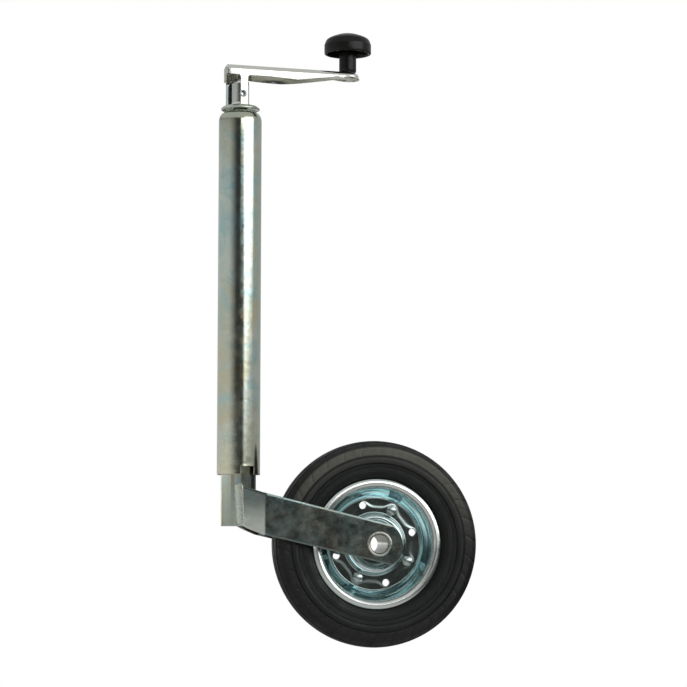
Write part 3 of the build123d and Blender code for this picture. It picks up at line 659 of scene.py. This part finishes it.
def crank_plate():
    """A pan turned upside down: a top plate, a bend all round it, and a skirt of varying depth."""
    reach = CRANK_HALF - CRANK_BEND_R
    left = CRANK_LEFT + CRANK_BEND_R * CRANK_WEB_BEND
    # stations round the top plate's outline, from the front flange by the web to the back one
    front_x = [left, -8, -4.1, -3.2, -2.3, -1.6, CRANK_NOTCH_X, 0.5, 3, 5, CRANK_RIGHT]
    front_x += [CRANK_RIGHT + d for d in (0.2, 0.7, 1.4, 2.2, 3.0, 5)]
    front_x += [15 + 3.0 * k for k in range(32)]
    front_x = [x for x in front_x if x < KNOB_X - 8] + [KNOB_X - 8, KNOB_X - 4]
    # each station: a point on the top plate's edge, the way out from it, and its side
    stations = [((x, -reach), (0, -1), "front") for x in front_x]
    for k in range(END_STEPS + 1):
        turn = -pi / 2 + pi * k / END_STEPS
        out = (cos(turn), sin(turn))
        stations.append(((KNOB_X + reach * out[0], reach * out[1]), out, "end"))
    stations += [((x, reach), (0, 1), "back") for x in reversed(front_x)]
    for k in range(1, 7):
        turn = pi / 2 + pi / 2 * k / 6
        stations.append(((left, reach), (cos(turn), sin(turn)), "back_corner"))
    stations += [((left, reach - 2 * reach * k / 8), (-1, 0), "web") for k in range(1, 8)]
    for k in range(0, 6):
        turn = pi + pi / 2 * k / 6
        stations.append(((left, -reach), (cos(turn), sin(turn)), "front_corner"))

    arc = [pi / 2 * k / 6 for k in range(7)]
    upper_rows, lower_rows = 6, 12

    def corner(distance):
        """How far a filleted corner hangs below its edge, at a distance from the corner."""
        if distance >= CRANK_CORNER_R:
            return 0.0
        return CRANK_CORNER_R - sqrt(CRANK_CORNER_R**2 - (CRANK_CORNER_R - distance) ** 2)

    def edge_depth(x, side):
        if side in BY_THE_WEB:
            return CRANK_TOP - (CRANK_NOTCH_TOP if side == "front_corner" else CRANK_WEB_FOOT)
        edge = FRONT_EDGE if side == "front" else BACK_EDGE
        if x >= CRANK_RIGHT:
            return along(edge, x) + (corner(x - CRANK_RIGHT) if side != "end" else 0)
        inner = edge[0][1] + CRANK_CORNER_R
        if side == "back":
            return inner
        notch = CRANK_TOP - CRANK_NOTCH_TOP
        if x > CRANK_NOTCH_X:
            share = (x - CRANK_NOTCH_X) / (CRANK_RIGHT - CRANK_NOTCH_X)
            return notch + CRANK_CORNER_R + share * (inner - notch - CRANK_CORNER_R)
        return notch + corner(CRANK_NOTCH_X - x)

    verts, kept = [], []
    per = len(arc) + upper_rows + lower_rows
    for (x, y), out, side in stations:
        top = CRANK_TOP - CRANK_FALL * (x + out[0] * CRANK_BEND_R - CRANK_LEFT)
        flare = CRANK_FLARE if side == "end" else 0.0
        if side in BY_THE_WEB:
            out = (out[0] * CRANK_WEB_BEND, out[1])
        for a in arc:
            over_x, over_y = (o * CRANK_BEND_R * sin(a) for o in out)
            verts.append((x + over_x, y + over_y, top - CRANK_BEND_R * (1 - cos(a))))
        depth = edge_depth(x, side)
        for k in range(1, upper_rows + 1):
            share = k / upper_rows
            drop = CRANK_BEND_R + (depth - CRANK_BEND_R) * share
            push = CRANK_BEND_R + flare * share**2
            dimple = bump_at(x - DIMPLE_X, 7.5) * bump_at(drop - DIMPLE_DROP, 2.6)
            dent = DIMPLE_DEPTH * dimple if side == "back" else 0.0
            verts.append((x + out[0] * push, y + out[1] * (push - dent), top - drop))
        for k in range(1, lower_rows + 1):
            foot = top - depth + (CRANK_FOOT - top + depth) * k / lower_rows
            verts.append((x + out[0] * CRANK_BEND_R, y + out[1] * CRANK_BEND_R, foot))
        kept.append(x <= CRANK_RIGHT and (side == "back" or (side == "front" and CRANK_NOTCH_X <= x)))
    rows = len(stations)

    def keep(j, i):
        if i < len(arc) + upper_rows - 1:
            return True
        return kept[j] and kept[(j + 1) % rows]

    faces = grid_faces(rows, per, True, False, keep)
    # the top plate: strips from the front edge to the back one
    count = len(front_x)
    last = 2 * count + END_STEPS  # the back flange's station nearest the web
    for i in range(count - 1):
        across = (last - i) * per
        faces.append((i * per, (i + 1) * per, across - per, across))
    faces.append(tuple((count - 1 + k) * per for k in range(END_STEPS + 3)))
    faces.append(tuple(k * per for k in range(last, rows)) + (0,))
    used = sorted({v for f in faces for v in f})
    order = {v: k for k, v in enumerate(used)}
    obj = mesh_object(
        "crank_plate", [verts[v] for v in used], [tuple(order[v] for v in f) for f in faces],
        outward=lambda c: Vector((0, 0, 1)) if c.z > CRANK_TOP - 6 else Vector((0, c.y, 0)),
    )
    thicken(obj, CRANK_SHEET)
    return drill(obj, [((PIN_X, -CRANK_HALF - 4, PIN_Z), (PIN_X, CRANK_HALF + 4, PIN_Z), PIN_R - 0.1)])


dress(break_edges(crank_plate(), 0.35, 50), "screw", "zinc_crank", "crank_arm", sharp=40)

PIN_BORE = PIN_R - 1.3
pin_end = [
    (PIN_BORE, PIN_HIGH.y - 3), (PIN_BORE + 0.5, PIN_HIGH.y + 0.6), (PIN_R + 0.7, PIN_HIGH.y + 0.6),
    (PIN_R + 0.9, CRANK_HALF), (PIN_R - 0.1, CRANK_HALF - 0.3),
]
pin_section = [(r, -h) for r, h in pin_end] + [(r, h) for r, h in reversed(pin_end)]
roll_pin = lathe(
    "roll_pin", rounded(pin_section, 0.35, 3, True),
    lambda r, h, a: (PIN_X + r * cos(a), h, PIN_Z + r * sin(a)), 48,
)
dress(roll_pin, "screw", "steel", "crank_pin")

socket_r = SOCKET_HIGH.x
bore_r = SPINDLE_HIGH.x - 0.2
sleeve = [
    (bore_r, SOCKET_LOW.z), (socket_r + 1.0, SOCKET_LOW.z), (socket_r + 1.0, SOCKET_LOW.z + 2),
    (socket_r, SOCKET_LOW.z + 4), (socket_r, SOCKET_HIGH.z - 3), (socket_r - 0.8, SOCKET_HIGH.z),
    (bore_r, SOCKET_HIGH.z),
]
crank_sleeve = lathe("crank_sleeve", rounded(sleeve, 0.8, 4, True), about_tube, 72)
dress(crank_sleeve, "screw", "zinc_crank", "crank_socket")

washer_r = WASHER_HIGH.x
cup = [
    (bore_r, WASHER_LOW.z + 1.6), (washer_r - 5, WASHER_LOW.z + 1.4), (washer_r - 0.6, WASHER_LOW.z),
    (washer_r + 0.3, WASHER_LOW.z + 0.6), (washer_r, WASHER_LOW.z + 2.2), (washer_r - 2.6, WASHER_HIGH.z - 0.2),
    (washer_r - 6, WASHER_HIGH.z), (bore_r, WASHER_HIGH.z),
]
cupped_washer = lathe("cupped_washer", rounded(cup, 1.1, 5, True), about_tube, 128)
dress(cupped_washer, "screw", "zinc_washer", "crank_washer")

# ---- knob: a hollow mushroom on a stem ----
STEM_R = 9.7
KNOB_WALL = 3.2
KNOB_BORE = 4.1
POCKET_R = 6.9
KNOB_TOP = KNOB_HIGH.z
KNOB_RIM = KNOB_TOP - 24.1
KNOB_SHOULDER = KNOB_TOP - 13.6
KNOB_CEILING = KNOB_RIM + 12.0
POCKET_TOP = RIVET_HIGH.z + 0.4
POCKET_FOOT = POCKET_TOP - 3.8


def through(points, steps=6):
    """A smooth curve through the points."""
    before = tuple(2 * a - b for a, b in zip(points[0], points[1]))
    after = tuple(2 * a - b for a, b in zip(points[-1], points[-2]))
    spread = [before, *points, after]
    out = []
    for p0, p1, p2, p3 in zip(spread, spread[1:], spread[2:], spread[3:]):
        for k in range(steps):
            t = k / steps
            out.append(tuple(
                0.5 * (2 * b + (c - a) * t + (2 * a - 5 * b + 4 * c - d) * t**2 + (3 * b - a - 3 * c + d) * t**3)
                for a, b, c, d in zip(p0, p1, p2, p3)
            ))
    return out + [tuple(points[-1])]


def knob_section():
    under = rounded(
        [(KNOB_BORE, KNOB_LOW.z), (STEM_R, KNOB_LOW.z), (STEM_R, KNOB_CEILING),
         (KNOB_R - KNOB_WALL - 2, KNOB_CEILING), (KNOB_R - KNOB_WALL, KNOB_RIM), (KNOB_R, KNOB_RIM),
         (KNOB_R, KNOB_SHOULDER - 1)], 1.2, 4)
    dome = through(
        [(KNOB_R, KNOB_SHOULDER), (24.3, KNOB_TOP - 8.2), (20.5, KNOB_TOP - 5.3), (12, KNOB_TOP - 2),
         (5, KNOB_TOP - 0.4), (0, KNOB_TOP)])
    pocket = [(0, POCKET_TOP), (POCKET_R, POCKET_TOP), (POCKET_R, POCKET_FOOT), (KNOB_BORE, POCKET_FOOT)]
    return split(under, 3) + dome + pocket


dress(lathe("knob_cap", knob_section(), about_knob, 96), "knob", "knob_plastic", "crank_knob", sharp=50)

rivet_foot, rivet_end = RIVET_LOW.z, RIVET_HIGH.z
rivet_head = [
    (0, rivet_foot), (2.5, rivet_foot + 0.05), (4.6, rivet_foot + 0.6), (6.1, rivet_foot + 1.7),
    (6.5, rivet_foot + 2.5), (4.0, rivet_foot + 2.5), (4.0, rivet_end - 0.5), (3.5, rivet_end), (0, rivet_end),
]
dress(lathe("knob_rivet", rivet_head, about_knob, 48), "screw", "steel", "knob_pin", sharp=40)

# ---- fork arms ----
ARM_T = 4.0
ARM_OUT = ARM_HIGH.y  # outer face of the straight part
ARM_SPLAY = radians(19)  # each arm leaves the tube at this angle to the wheel's direction
SPLAY_START = (-(LEG_R + ARM_T) * sin(ARM_SPLAY), (LEG_R + ARM_T) * cos(ARM_SPLAY))
SPLAY_END_X = SPLAY_START[0] + (ARM_OUT - SPLAY_START[1]) / tan(ARM_SPLAY)
ARM_FAR = 200.0  # past the rounded end
ARM_BEND = 22.2  # where the edges change slope
ARM_TOP_EDGE = [(-3.5, -208.9), (ARM_BEND, -217.2), (ARM_FAR, -217.2 - 0.248 * (ARM_FAR - ARM_BEND))]
ARM_LOW_EDGE = [(-1.5, -254.0), (ARM_BEND, -263.6), (ARM_FAR, -263.6 - 0.232 * (ARM_FAR - ARM_BEND))]
ARM_END_R = 25.7
AXLE_R = 12.0
PLAN = rounded([SPLAY_START, (SPLAY_END_X, ARM_OUT), (ARM_FAR, ARM_OUT)], 6.0, 6)


def arm_plate(side, name):
    """One arm: its outer face, point by point along and across, then its thickness."""
    start, end = ARM_TOP_EDGE[0][0], WHEEL_X + ARM_END_R
    stations = [start + (SPLAY_END_X - 4 - start) * k / 12 for k in range(12)]
    stations += [SPLAY_END_X - 4 + 8 * k / 10 for k in range(10)]
    stations += [SPLAY_END_X + 4 + (WHEEL_X - SPLAY_END_X - 4) * k / 40 for k in range(40)]
    stations += [WHEEL_X + ARM_END_R * sin(pi / 2 * k / 24) for k in range(25)]
    rows = 16
    verts = []
    for x in stations:
        top, low = along(ARM_TOP_EDGE, x), along(ARM_LOW_EDGE, x)
        if x > WHEEL_X:
            half = sqrt(max(0.0, ARM_END_R**2 - (x - WHEEL_X) ** 2))
            top, low = min(top, WHEEL_Z + half), max(low, WHEEL_Z - half)
        for k in range(rows + 1):
            share = k / rows
            lean = 2.0 * share * (1 - smooth(x, start, start + 12))  # the cut beside the weld leans
            x_here = x + lean
            verts.append((x_here, side * along(PLAN, x_here), top + (low - top) * share))
    obj = mesh_object(
        name, verts, grid_faces(len(stations), rows + 1), outward=lambda c: Vector((0, side, 0))
    )
    thicken(obj, ARM_T)
    inside, outside = side * (ARM_OUT - ARM_T - 3), side * (ARM_OUT + 3)
    drill(obj, [((WHEEL_X, inside, WHEEL_Z), (WHEEL_X, outside, WHEEL_Z), AXLE_R + 0.05)])
    return break_edges(obj, 0.5, 50)


for side, side_name in SIDES:
    dress(finished(arm_plate(side, f"arm_{side_name}")), "leg", "zinc_dark", f"fork_arm_{side_name}", sharp=30)

# the weld's section seen from above, at the front: from the tube, over the plate's edge, onto its face
BEAD = [
    (-6.6, -17.4), (-6.5, -19.6), (-5.2, -22.4), (-3.2, -24.6), (-1.2, -25.7), (0.4, -26.1), (1.6, -26.3),
    (1.4, -24.6), (-2.6, -18.6),
]
BEAD_MIDDLE = Vector((-2.2, -22.2))
BEAD_TOP, BEAD_LOW = -208.0, -254.3
RIPPLE = 2.6  # spacing of the weld's ripples


def weld_beads():
    ring = through(BEAD + BEAD[:1], 4)[:-1]
    rows = 110
    verts, faces = [], []
    for side in (1, -1):
        first = len(verts)
        for j in range(rows + 1):
            share = j / rows
            z = BEAD_TOP + (BEAD_LOW - BEAD_TOP) * share
            shift = -0.2 + 2.0 * share
            narrow = 1 - 0.16 * share
            end = sqrt(max(0.0, 1 - abs(2 * share - 1) ** 14))
            for x, y in ring:
                out = Vector((x, y)) - BEAD_MIDDLE
                turn = atan2(out.y, out.x)
                # each pool of weld metal overlaps the one below it in a crescent
                phase = (z + 0.13 * (out.x**2) * 0.5) / RIPPLE
                pools = 0.8 * abs(sin(pi * phase))
                uneven = 0.5 * sin(2.3 * z + 3 * turn) * sin(0.7 * z)
                reach = out * (0.25 + 0.75 * end) * (1 + 0.085 * (pools + uneven))
                verts.append((BEAD_MIDDLE.x + shift + reach.x * narrow, side * (BEAD_MIDDLE.y + reach.y), z))
        faces += [tuple(v + first for v in f) for f in grid_faces(rows + 1, len(ring), False, True)]
        faces.append(tuple(range(first, first + len(ring))))
        faces.append(tuple(range(len(verts) - len(ring), len(verts))))
    return mesh_object("weld_beads", verts, faces)


dress(weld_beads(), "leg", "weld", "fork_welds", sharp=60)

# ---- axle and hub ----
lip = AXLE_HIGH.y
lip_section = through(
    [(10.0, lip - 4.6), (10.3, lip - 2.2), (11.3, lip - 0.5), (12.4, lip), (13.5, lip - 0.3), (14.0, lip - 1.2),
     (13.7, lip - 1.75), (12.0, lip - 1.6)], 4)
axle_section = lip_section + [(r, -h) for r, h in reversed(lip_section)]
dress(lathe("flared_axle", axle_section, about_axle, 96), "leg", "axle_zinc", "axle", sharp=45)

for side, side_name in SIDES:
    spacer_low, spacer_high = box_mm(f"axle_spacer_{side_name}")
    spacer_r = spacer_high.x - WHEEL_X
    dress(
        rubbed_ring(f"spacer_{side_name}", AXLE_R, spacer_r, spacer_low.y, spacer_high.y, about_axle, 0.5),
        "leg", "steel", f"axle_spacer_{side_name}",
    )
hub_low, hub_high = box_mm("hub_tube")
HUB_R = hub_high.x - WHEEL_X
HUB_BORE_R = 15.0
hub_sleeve = rubbed_ring("hub_sleeve", HUB_BORE_R, HUB_R, hub_low.y, hub_high.y, about_axle)
dress(hub_sleeve, "wheel", "zinc_blue", "hub_tube")

# ---- rim halves ----
SHEET = 2.0
HOLE_CIRCLE, HOLE_R, HOLE_TURN = 45.0, 4.0, radians(-17)
BOLT_CIRCLE, BOLT_R, BOLT_TURN = 42.0, 3.0, radians(27)
RAISED = 0.3  # the web's middle is pressed outwards by this
PRESSED_R, PRESSED_SOFT = 41.5, 2.8
# mid-line of a half's plate: radius, and distance from the joint between the halves
RIM_LINE = [
    (HUB_R, 3.4), (22.6, 3.4), (25.2, 5.6), (27.2, 8.4), (29.4, 9.4), (31.4, 8.2), (32.8, 4.6), (34.0, 1.0),
    (51.5, 1.0), (55.5, 4.2), (59.6, 10.4), (62.4, 15.2), (63.8, 18.0), (65.4, 19.8), (67.4, 20.4), (69.8, 20.1),
    (71.9, 19.2), (73.1, 17.9),
]


def web_press(r, angle):
    """The raised middle of the web reaches out round each hole and bolt."""
    near = min(
        abs(remainder(angle - turn, TAU / 4)) * circle
        for turn, circle in ((HOLE_TURN, HOLE_CIRCLE), (BOLT_TURN, BOLT_CIRCLE))
    )
    edge = PRESSED_R + 7.6 * bump_at(near, 6.8)
    return RAISED * (1 - smooth(r, edge - PRESSED_SOFT, edge + PRESSED_SOFT))


def rim_half(side, name):
    line = split(rounded(RIM_LINE, 2.4, 5), 0.9)
    turns = 240
    verts = []
    for j in range(turns):
        angle = TAU * j / turns
        for r, h in line:
            press = web_press(r, angle) * smooth(r, 32.8, 34.4)
            verts.append(about_axle(r, side * (h + press), angle))
    obj = mesh_object(name, verts, grid_faces(turns, len(line), True), outward=lambda c: Vector((0, side, 0)))
    plate = obj.modifiers.new("plate", "SOLIDIFY")
    plate.thickness = SHEET * MM
    plate.offset = 0
    plate.use_even_offset = True
    finished(obj)
    ends = [[about_axle(HOLE_CIRCLE, side * h, HOLE_TURN + TAU * k / 4) for h in (-2, 8)] for k in range(4)]
    drill(obj, [(*pair, HOLE_R) for pair in ends])
    return break_edges(obj, 0.35, 50)


for side, side_name in SIDES:
    dress(finished(rim_half(side, f"rim_half_{side_name}")), "wheel", "zinc_blue", f"rim_{side_name}", sharp=35)

HEX_FLAT = 5.0  # half of the spanner size


def hex_piece(name, rows, hollow):
    """Bolts or nuts on the rim. A row is a height, a chamfer radius and whether it is six-sided."""
    verts, faces = [], []
    turns = 48
    for b in range(4):
        turn = BOLT_TURN + TAU * b / 4
        cx, _, cz = about_axle(BOLT_CIRCLE, 0, turn)
        first = len(verts)
        for h, limit, six in rows:
            for j in range(turns):
                a = TAU * j / turns
                r = min(limit, HEX_FLAT / cos(remainder(a, TAU / 6))) if six else limit
                verts.append((cx + r * cos(a + 0.4 * b), h, cz + r * sin(a + 0.4 * b)))
        faces += [tuple(v + first for v in f) for f in grid_faces(len(rows), turns, hollow, True)]
        if not hollow:
            faces.append(tuple(range(first, first + turns)))
            faces.append(tuple(range(len(verts) - turns, len(verts))))
    return mesh_object(name, verts, faces)


seat = SHEET + RAISED
bolt_rows = [
    (-seat - 4.9, 0.9, False), (-seat - 4.75, 2.4, False), (-seat - 4.35, 3.8, False), (-seat - 4.0, 4.85, True),
    (-seat - 3.4, 5.6, True), (-seat - 0.7, 6.4, True), (-seat - 0.7, 5.6, False), (-seat, 5.6, False),
    (-seat, BOLT_R, False), (seat + 6.2, BOLT_R, False), (seat + 6.8, BOLT_R - 0.7, False),
]
dress(hex_piece("rim_hex_bolts", bolt_rows, False), "wheel", "bolt_zinc", "rim_bolts", sharp=28)
nut_rows = [
    (seat, BOLT_R + 0.1, False), (seat, 5.0, True), (seat + 0.6, 5.5, True), (seat + 1.0, 6.4, True),
    (seat + 4.0, 6.4, True), (seat + 4.5, 5.4, True), (seat + 5.0, 4.8, True), (seat + 5.0, BOLT_R + 0.6, False),
    (seat + 4.5, BOLT_R + 0.1, False),
]
dress(hex_piece("rim_hex_nuts", nut_rows, True), "wheel", "bolt_zinc", "rim_nuts", sharp=28)

# ---- tyre ----
TREAD_GROOVES = (0.0, 8.5, 16.0)  # places of the grooves, either side of the middle
GROOVE_DEPTH, CUT_DEPTH, SIPE_DEPTH = 2.0, 0.9, 0.4
SHOULDER_CUTS = 30
RIBS, RIB_HEIGHT = 216, 0.12


def tyre_body():
    side_line = [
        (57.2, 0.0), (57.2, 4.0), (65.5, 15.2), (67.4, 17.9), (72.5, 18.6), (74.6, 19.2), (74.6, 21.8),
        (76.5, 24.4), (80.0, 25.4), (84.4, 25.5), (84.8, 25.1), (85.4, 25.1), (85.8, 25.5), (89.0, 25.6),
        (90.0, 27.4), (93.0, TYRE_HALF), (96.0, 27.8), (97.2, 26.9), (97.8, 25.6), (98.6, 26.3),
        (105.3, 25.9), (108.2, 23.6),
    ]
    side_line = split(rounded(side_line, 0.7, 3), 1.6)
    crown = through([(108.2, 23.6), (111.0, 20.0), (112.9, 16.0), (114.5, 9.5), (TYRE_R, 0.0)], 12)
    half = side_line + crown[1:]
    section = half + [(r, -h) for r, h in reversed(half[1:-1])]
    turns = 720
    verts = []
    for j in range(turns):
        angle = TAU * j / turns
        for r, h in section:
            depth = 0.0
            if r > 98.4 and abs(h) > 1:
                # cuts across the shoulder, leaning a little, with thin sipes between them
                lean = 0.006 * (r - 98) * (1 if h > 0 else -1)
                cut = abs(remainder(angle + lean, TAU / SHOULDER_CUTS)) * r
                sipe = abs(remainder(angle + lean + TAU / SHOULDER_CUTS / 2, TAU / SHOULDER_CUTS)) * r
                reach = smooth(r, 98.6, 101.0) * smooth(abs(h), 17.2, 19.0)
                cut_depth = CUT_DEPTH * (1 - smooth(cut, 0.5, 1.4))
                depth = reach * max(cut_depth, SIPE_DEPTH * (1 - smooth(sipe, 0.25, 0.8)))
            for groove in TREAD_GROOVES:
                if r > 109:
                    depth = max(depth, GROOVE_DEPTH * (1 - smooth(abs(abs(h) - groove), 0.8, 1.7)))
            # ribs on the sidewall, radial and shallow
            rib_zone = smooth(r, 98.9, 99.6) * (1 - smooth(r, 103.5, 104.5))
            rib = RIB_HEIGHT * rib_zone * smooth(cos(angle * RIBS), 0.2, 0.9)
            level = copysign(1, h) if h else 0
            out_r = r - depth * (0.55 if abs(h) > 20 else 1.0)
            out_h = h - level * (depth * (0.8 if abs(h) > 20 else 0.0) - rib * (1 if abs(h) > 22 else 0))
            verts.append(about_axle(out_r, out_h, angle))
    return mesh_object("tyre_body", verts, grid_faces(turns, len(section), True, True))


dress(tyre_body(), "wheel", "tyre_rubber", "tyre", sharp=60)

# ---- camera ----
YAW = radians(10.0)  # the camera stands this far round towards the tube's side
PITCH = radians(4.68)
ROLL = radians(-0.117)
DISTANCE = 2.70
SIDE = 0.1169  # the view's middle passes this far to the wheel's side of the tube
EYE_Z = -0.2723  # about the height of the axle
LENS = 127.3
SENSOR = 36.0

view_flat = Vector((sin(YAW), cos(YAW), 0))
view_right = Vector((cos(YAW), -sin(YAW), 0))
camera_data = bpy.data.cameras.new("camera")
camera_data.lens = LENS
camera_data.sensor_width = SENSOR
camera = bpy.data.objects.new("camera", camera_data)
camera.location = -view_flat * DISTANCE + view_right * SIDE + Vector((0, 0, EYE_Z))
camera.rotation_euler = (pi / 2 + PITCH, ROLL, -YAW)
bpy.context.scene.collection.objects.link(camera)
bpy.context.scene.camera = camera


# ---- lights: they light the object, and bare metal mirrors the room below instead of them ----
def area_light(name, width, tall, glow):
    """glow is its radiance."""
    data = bpy.data.lights.new(name, "AREA")
    data.shape = "RECTANGLE"
    data.size = width
    data.size_y = tall
    data.energy = glow * pi * width * tall
    light = bpy.data.objects.new(name, data)
    light.visible_glossy = False
    bpy.context.scene.collection.objects.link(light)
    return light


def at_bearing(turn, distance, height):
    """A place round the tube, turn degrees to the right of the camera."""
    bearing = radians(turn) - YAW
    return Vector((distance * sin(bearing), -distance * cos(bearing), height))


key = area_light("key_right", 2.0, 1.7, 1.6)
key.location = at_bearing(52, 1.8, 0.85)
key.rotation_euler = Vector((0.05 - key.location.x, -key.location.y, 0)).to_track_quat("-Z", "Z").to_euler()
top = area_light("top", 1.6, 1.6, 1.2)
top.location = at_bearing(20, 0.5, 2.0)

# ---- room: what bare metal mirrors, by direction ----
# bearings are in degrees to the right of the camera, and rises are sines of the elevation
LEFT_WALL, RIGHT_WALL, DARK, CEILING, SOFTBOX = 0.54, 0.41, 0.038, 0.48, 2.3
LEFT_WALL_FADE = (-64.0, -3.0)
LEFT_WALL_TOP = (0.15, 0.21)
FLOOR_SWEEP = (-0.01, 0.03)
RIGHT_WALL_FADE = (20.0, 33.0)
RIGHT_WALL_FOOT = (0.0, 0.025)
CEILING_EDGE = (0.26, 0.4)
BOX_FOOT = (0.060, 0.074)
BOX_HEAD = (0.38, 0.54)

world = bpy.data.worlds.new("studio")
bpy.context.scene.world = world
world.use_nodes = True
room = Nodes(world.node_tree)
toward = room.node("TexCoord").outputs["Generated"]
along_right = room.vector_math("DOT_PRODUCT", toward, view_right)
along_camera = room.vector_math("DOT_PRODUCT", toward, -view_flat)
bearing = room.math("DEGREES", room.math("ARCTAN2", along_right, along_camera))
rise = room.part(toward, "Z")

# at the foot of the left wall the pale floor sweeps up and round
swept = room.math("SUBTRACT", bearing, room.slope(rise, *FLOOR_SWEEP, 24.0, 0.0))
left = room.math("SUBTRACT", 1.0, room.ramp(swept, *LEFT_WALL_FADE))
left = room.math("MULTIPLY", left, room.slope(rise, *FLOOR_SWEEP, 2.0, 1.0))
left = room.math("MULTIPLY", left, room.slope(rise, *LEFT_WALL_TOP, 1.0, 0.55))
# the right wall is in the dark where it meets the floor
right = room.ramp(bearing, *RIGHT_WALL_FADE)
right = room.math("MULTIPLY", right, room.slope(rise, *RIGHT_WALL_FOOT, 0.12, 1.0))
level = room.math("ADD", room.math("MULTIPLY", left, LEFT_WALL), room.math("MULTIPLY", right, RIGHT_WALL))
ceiling = room.math("MULTIPLY", room.ramp(rise, *CEILING_EDGE), CEILING)
level = room.math("MAXIMUM", room.math("MAXIMUM", level, ceiling), DARK)
# one tall softbox to the right: its left edge steps in and out on the way up, and its foot is cut on a slant
left_edge = room.slope(rise, 0.06, 0.17, 33.0, 21.0)
left_edge = room.math("SUBTRACT", left_edge, room.math("MULTIPLY", room.ramp(rise, 0.168, 0.192), 14.0))
left_edge = room.math("ADD", left_edge, room.math("MULTIPLY", room.ramp(rise, 0.28, 0.34), 22.0))
right_edge = room.slope(rise, 0.055, 0.13, 30.0, 80.0)
wide = room.math(
    "MULTIPLY", room.ramp(room.math("SUBTRACT", bearing, left_edge), -3.0, 3.0),
    room.ramp(room.math("SUBTRACT", right_edge, bearing), -4.0, 5.0),
)
high = room.math("MULTIPLY", room.ramp(rise, *BOX_FOOT), room.math("SUBTRACT", 1.0, room.ramp(rise, *BOX_HEAD)))
level = room.math("MAXIMUM", level, room.math("MULTIPLY", room.math("MULTIPLY", wide, high), SOFTBOX))


def choose(nodes, amount, first, second, output):
    """Sends a blend of two shaders to the tree's output."""
    blend = nodes.node("MixShader", {0: amount, 1: first, 2: second})
    nodes.link(blend.outputs[0], nodes.tree.nodes[output].inputs["Surface"])


# the camera sees plain white behind the object
backdrop = room.tree.nodes["Background"]
backdrop.inputs["Color"].default_value = (1, 1, 1, 1)
mirrored = room.node("Background", {"Color": (0.97, 1.0, 0.98, 1), "Strength": level})
camera_ray = room.node("LightPath").outputs["Is Camera Ray"]
choose(room, camera_ray, mirrored.outputs[0], backdrop.outputs[0], "World Output")

# ---- floor: a pale sheet that looks as white as the background, painted dark far out on the wheel's side as painted shade that the metal mirrors ----
floor_mesh = bpy.data.meshes.new("floor")
shape = bmesh.new()
bmesh.ops.create_grid(shape, x_segments=1, y_segments=1, size=6.0)
shape.to_mesh(floor_mesh)
shape.free()
floor = bpy.data.objects.new("floor", floor_mesh)
floor.location = (0, 0, (GROUND - LEG_TRAVEL - 3) * MM)  # clear of the wheel when the leg is wound right out
paint = Shader("floor_paint", roughness=0.9, colour=(0.9, 0.9, 0.9))
paper = paint.mix(paint.ramp(paint.noise(2.0, 3.0), 0.3, 0.7), (0.48, 0.48, 0.47), (0.52, 0.52, 0.51))
# painted shade: the floor turns dark far out along X, on the wheel's side
paint.feed(paint.mix(paint.ramp(paint.along("X"), 0.3, 0.8), paper, (0.08, 0.08, 0.08)), "Base Color")
paint.surface.inputs["Specular IOR Level"].default_value = 0.0
lit = paint.node("Emission", {"Color": (1, 1, 1, 1), "Strength": 1.0})
glow = paint.ramp(paint.vector_math("LENGTH", paint.where), 0.25, 0.6, 0.94, 1.0)
glow = paint.math("MULTIPLY", paint.node("LightPath").outputs["Is Camera Ray"], glow)
choose(paint, glow, paint.surface.outputs[0], lit.outputs[0], "Material Output")
floor_mesh.materials.append(paint.material)
bpy.context.scene.collection.objects.link(floor)

bpy.context.scene.view_settings.view_transform = "Standard"
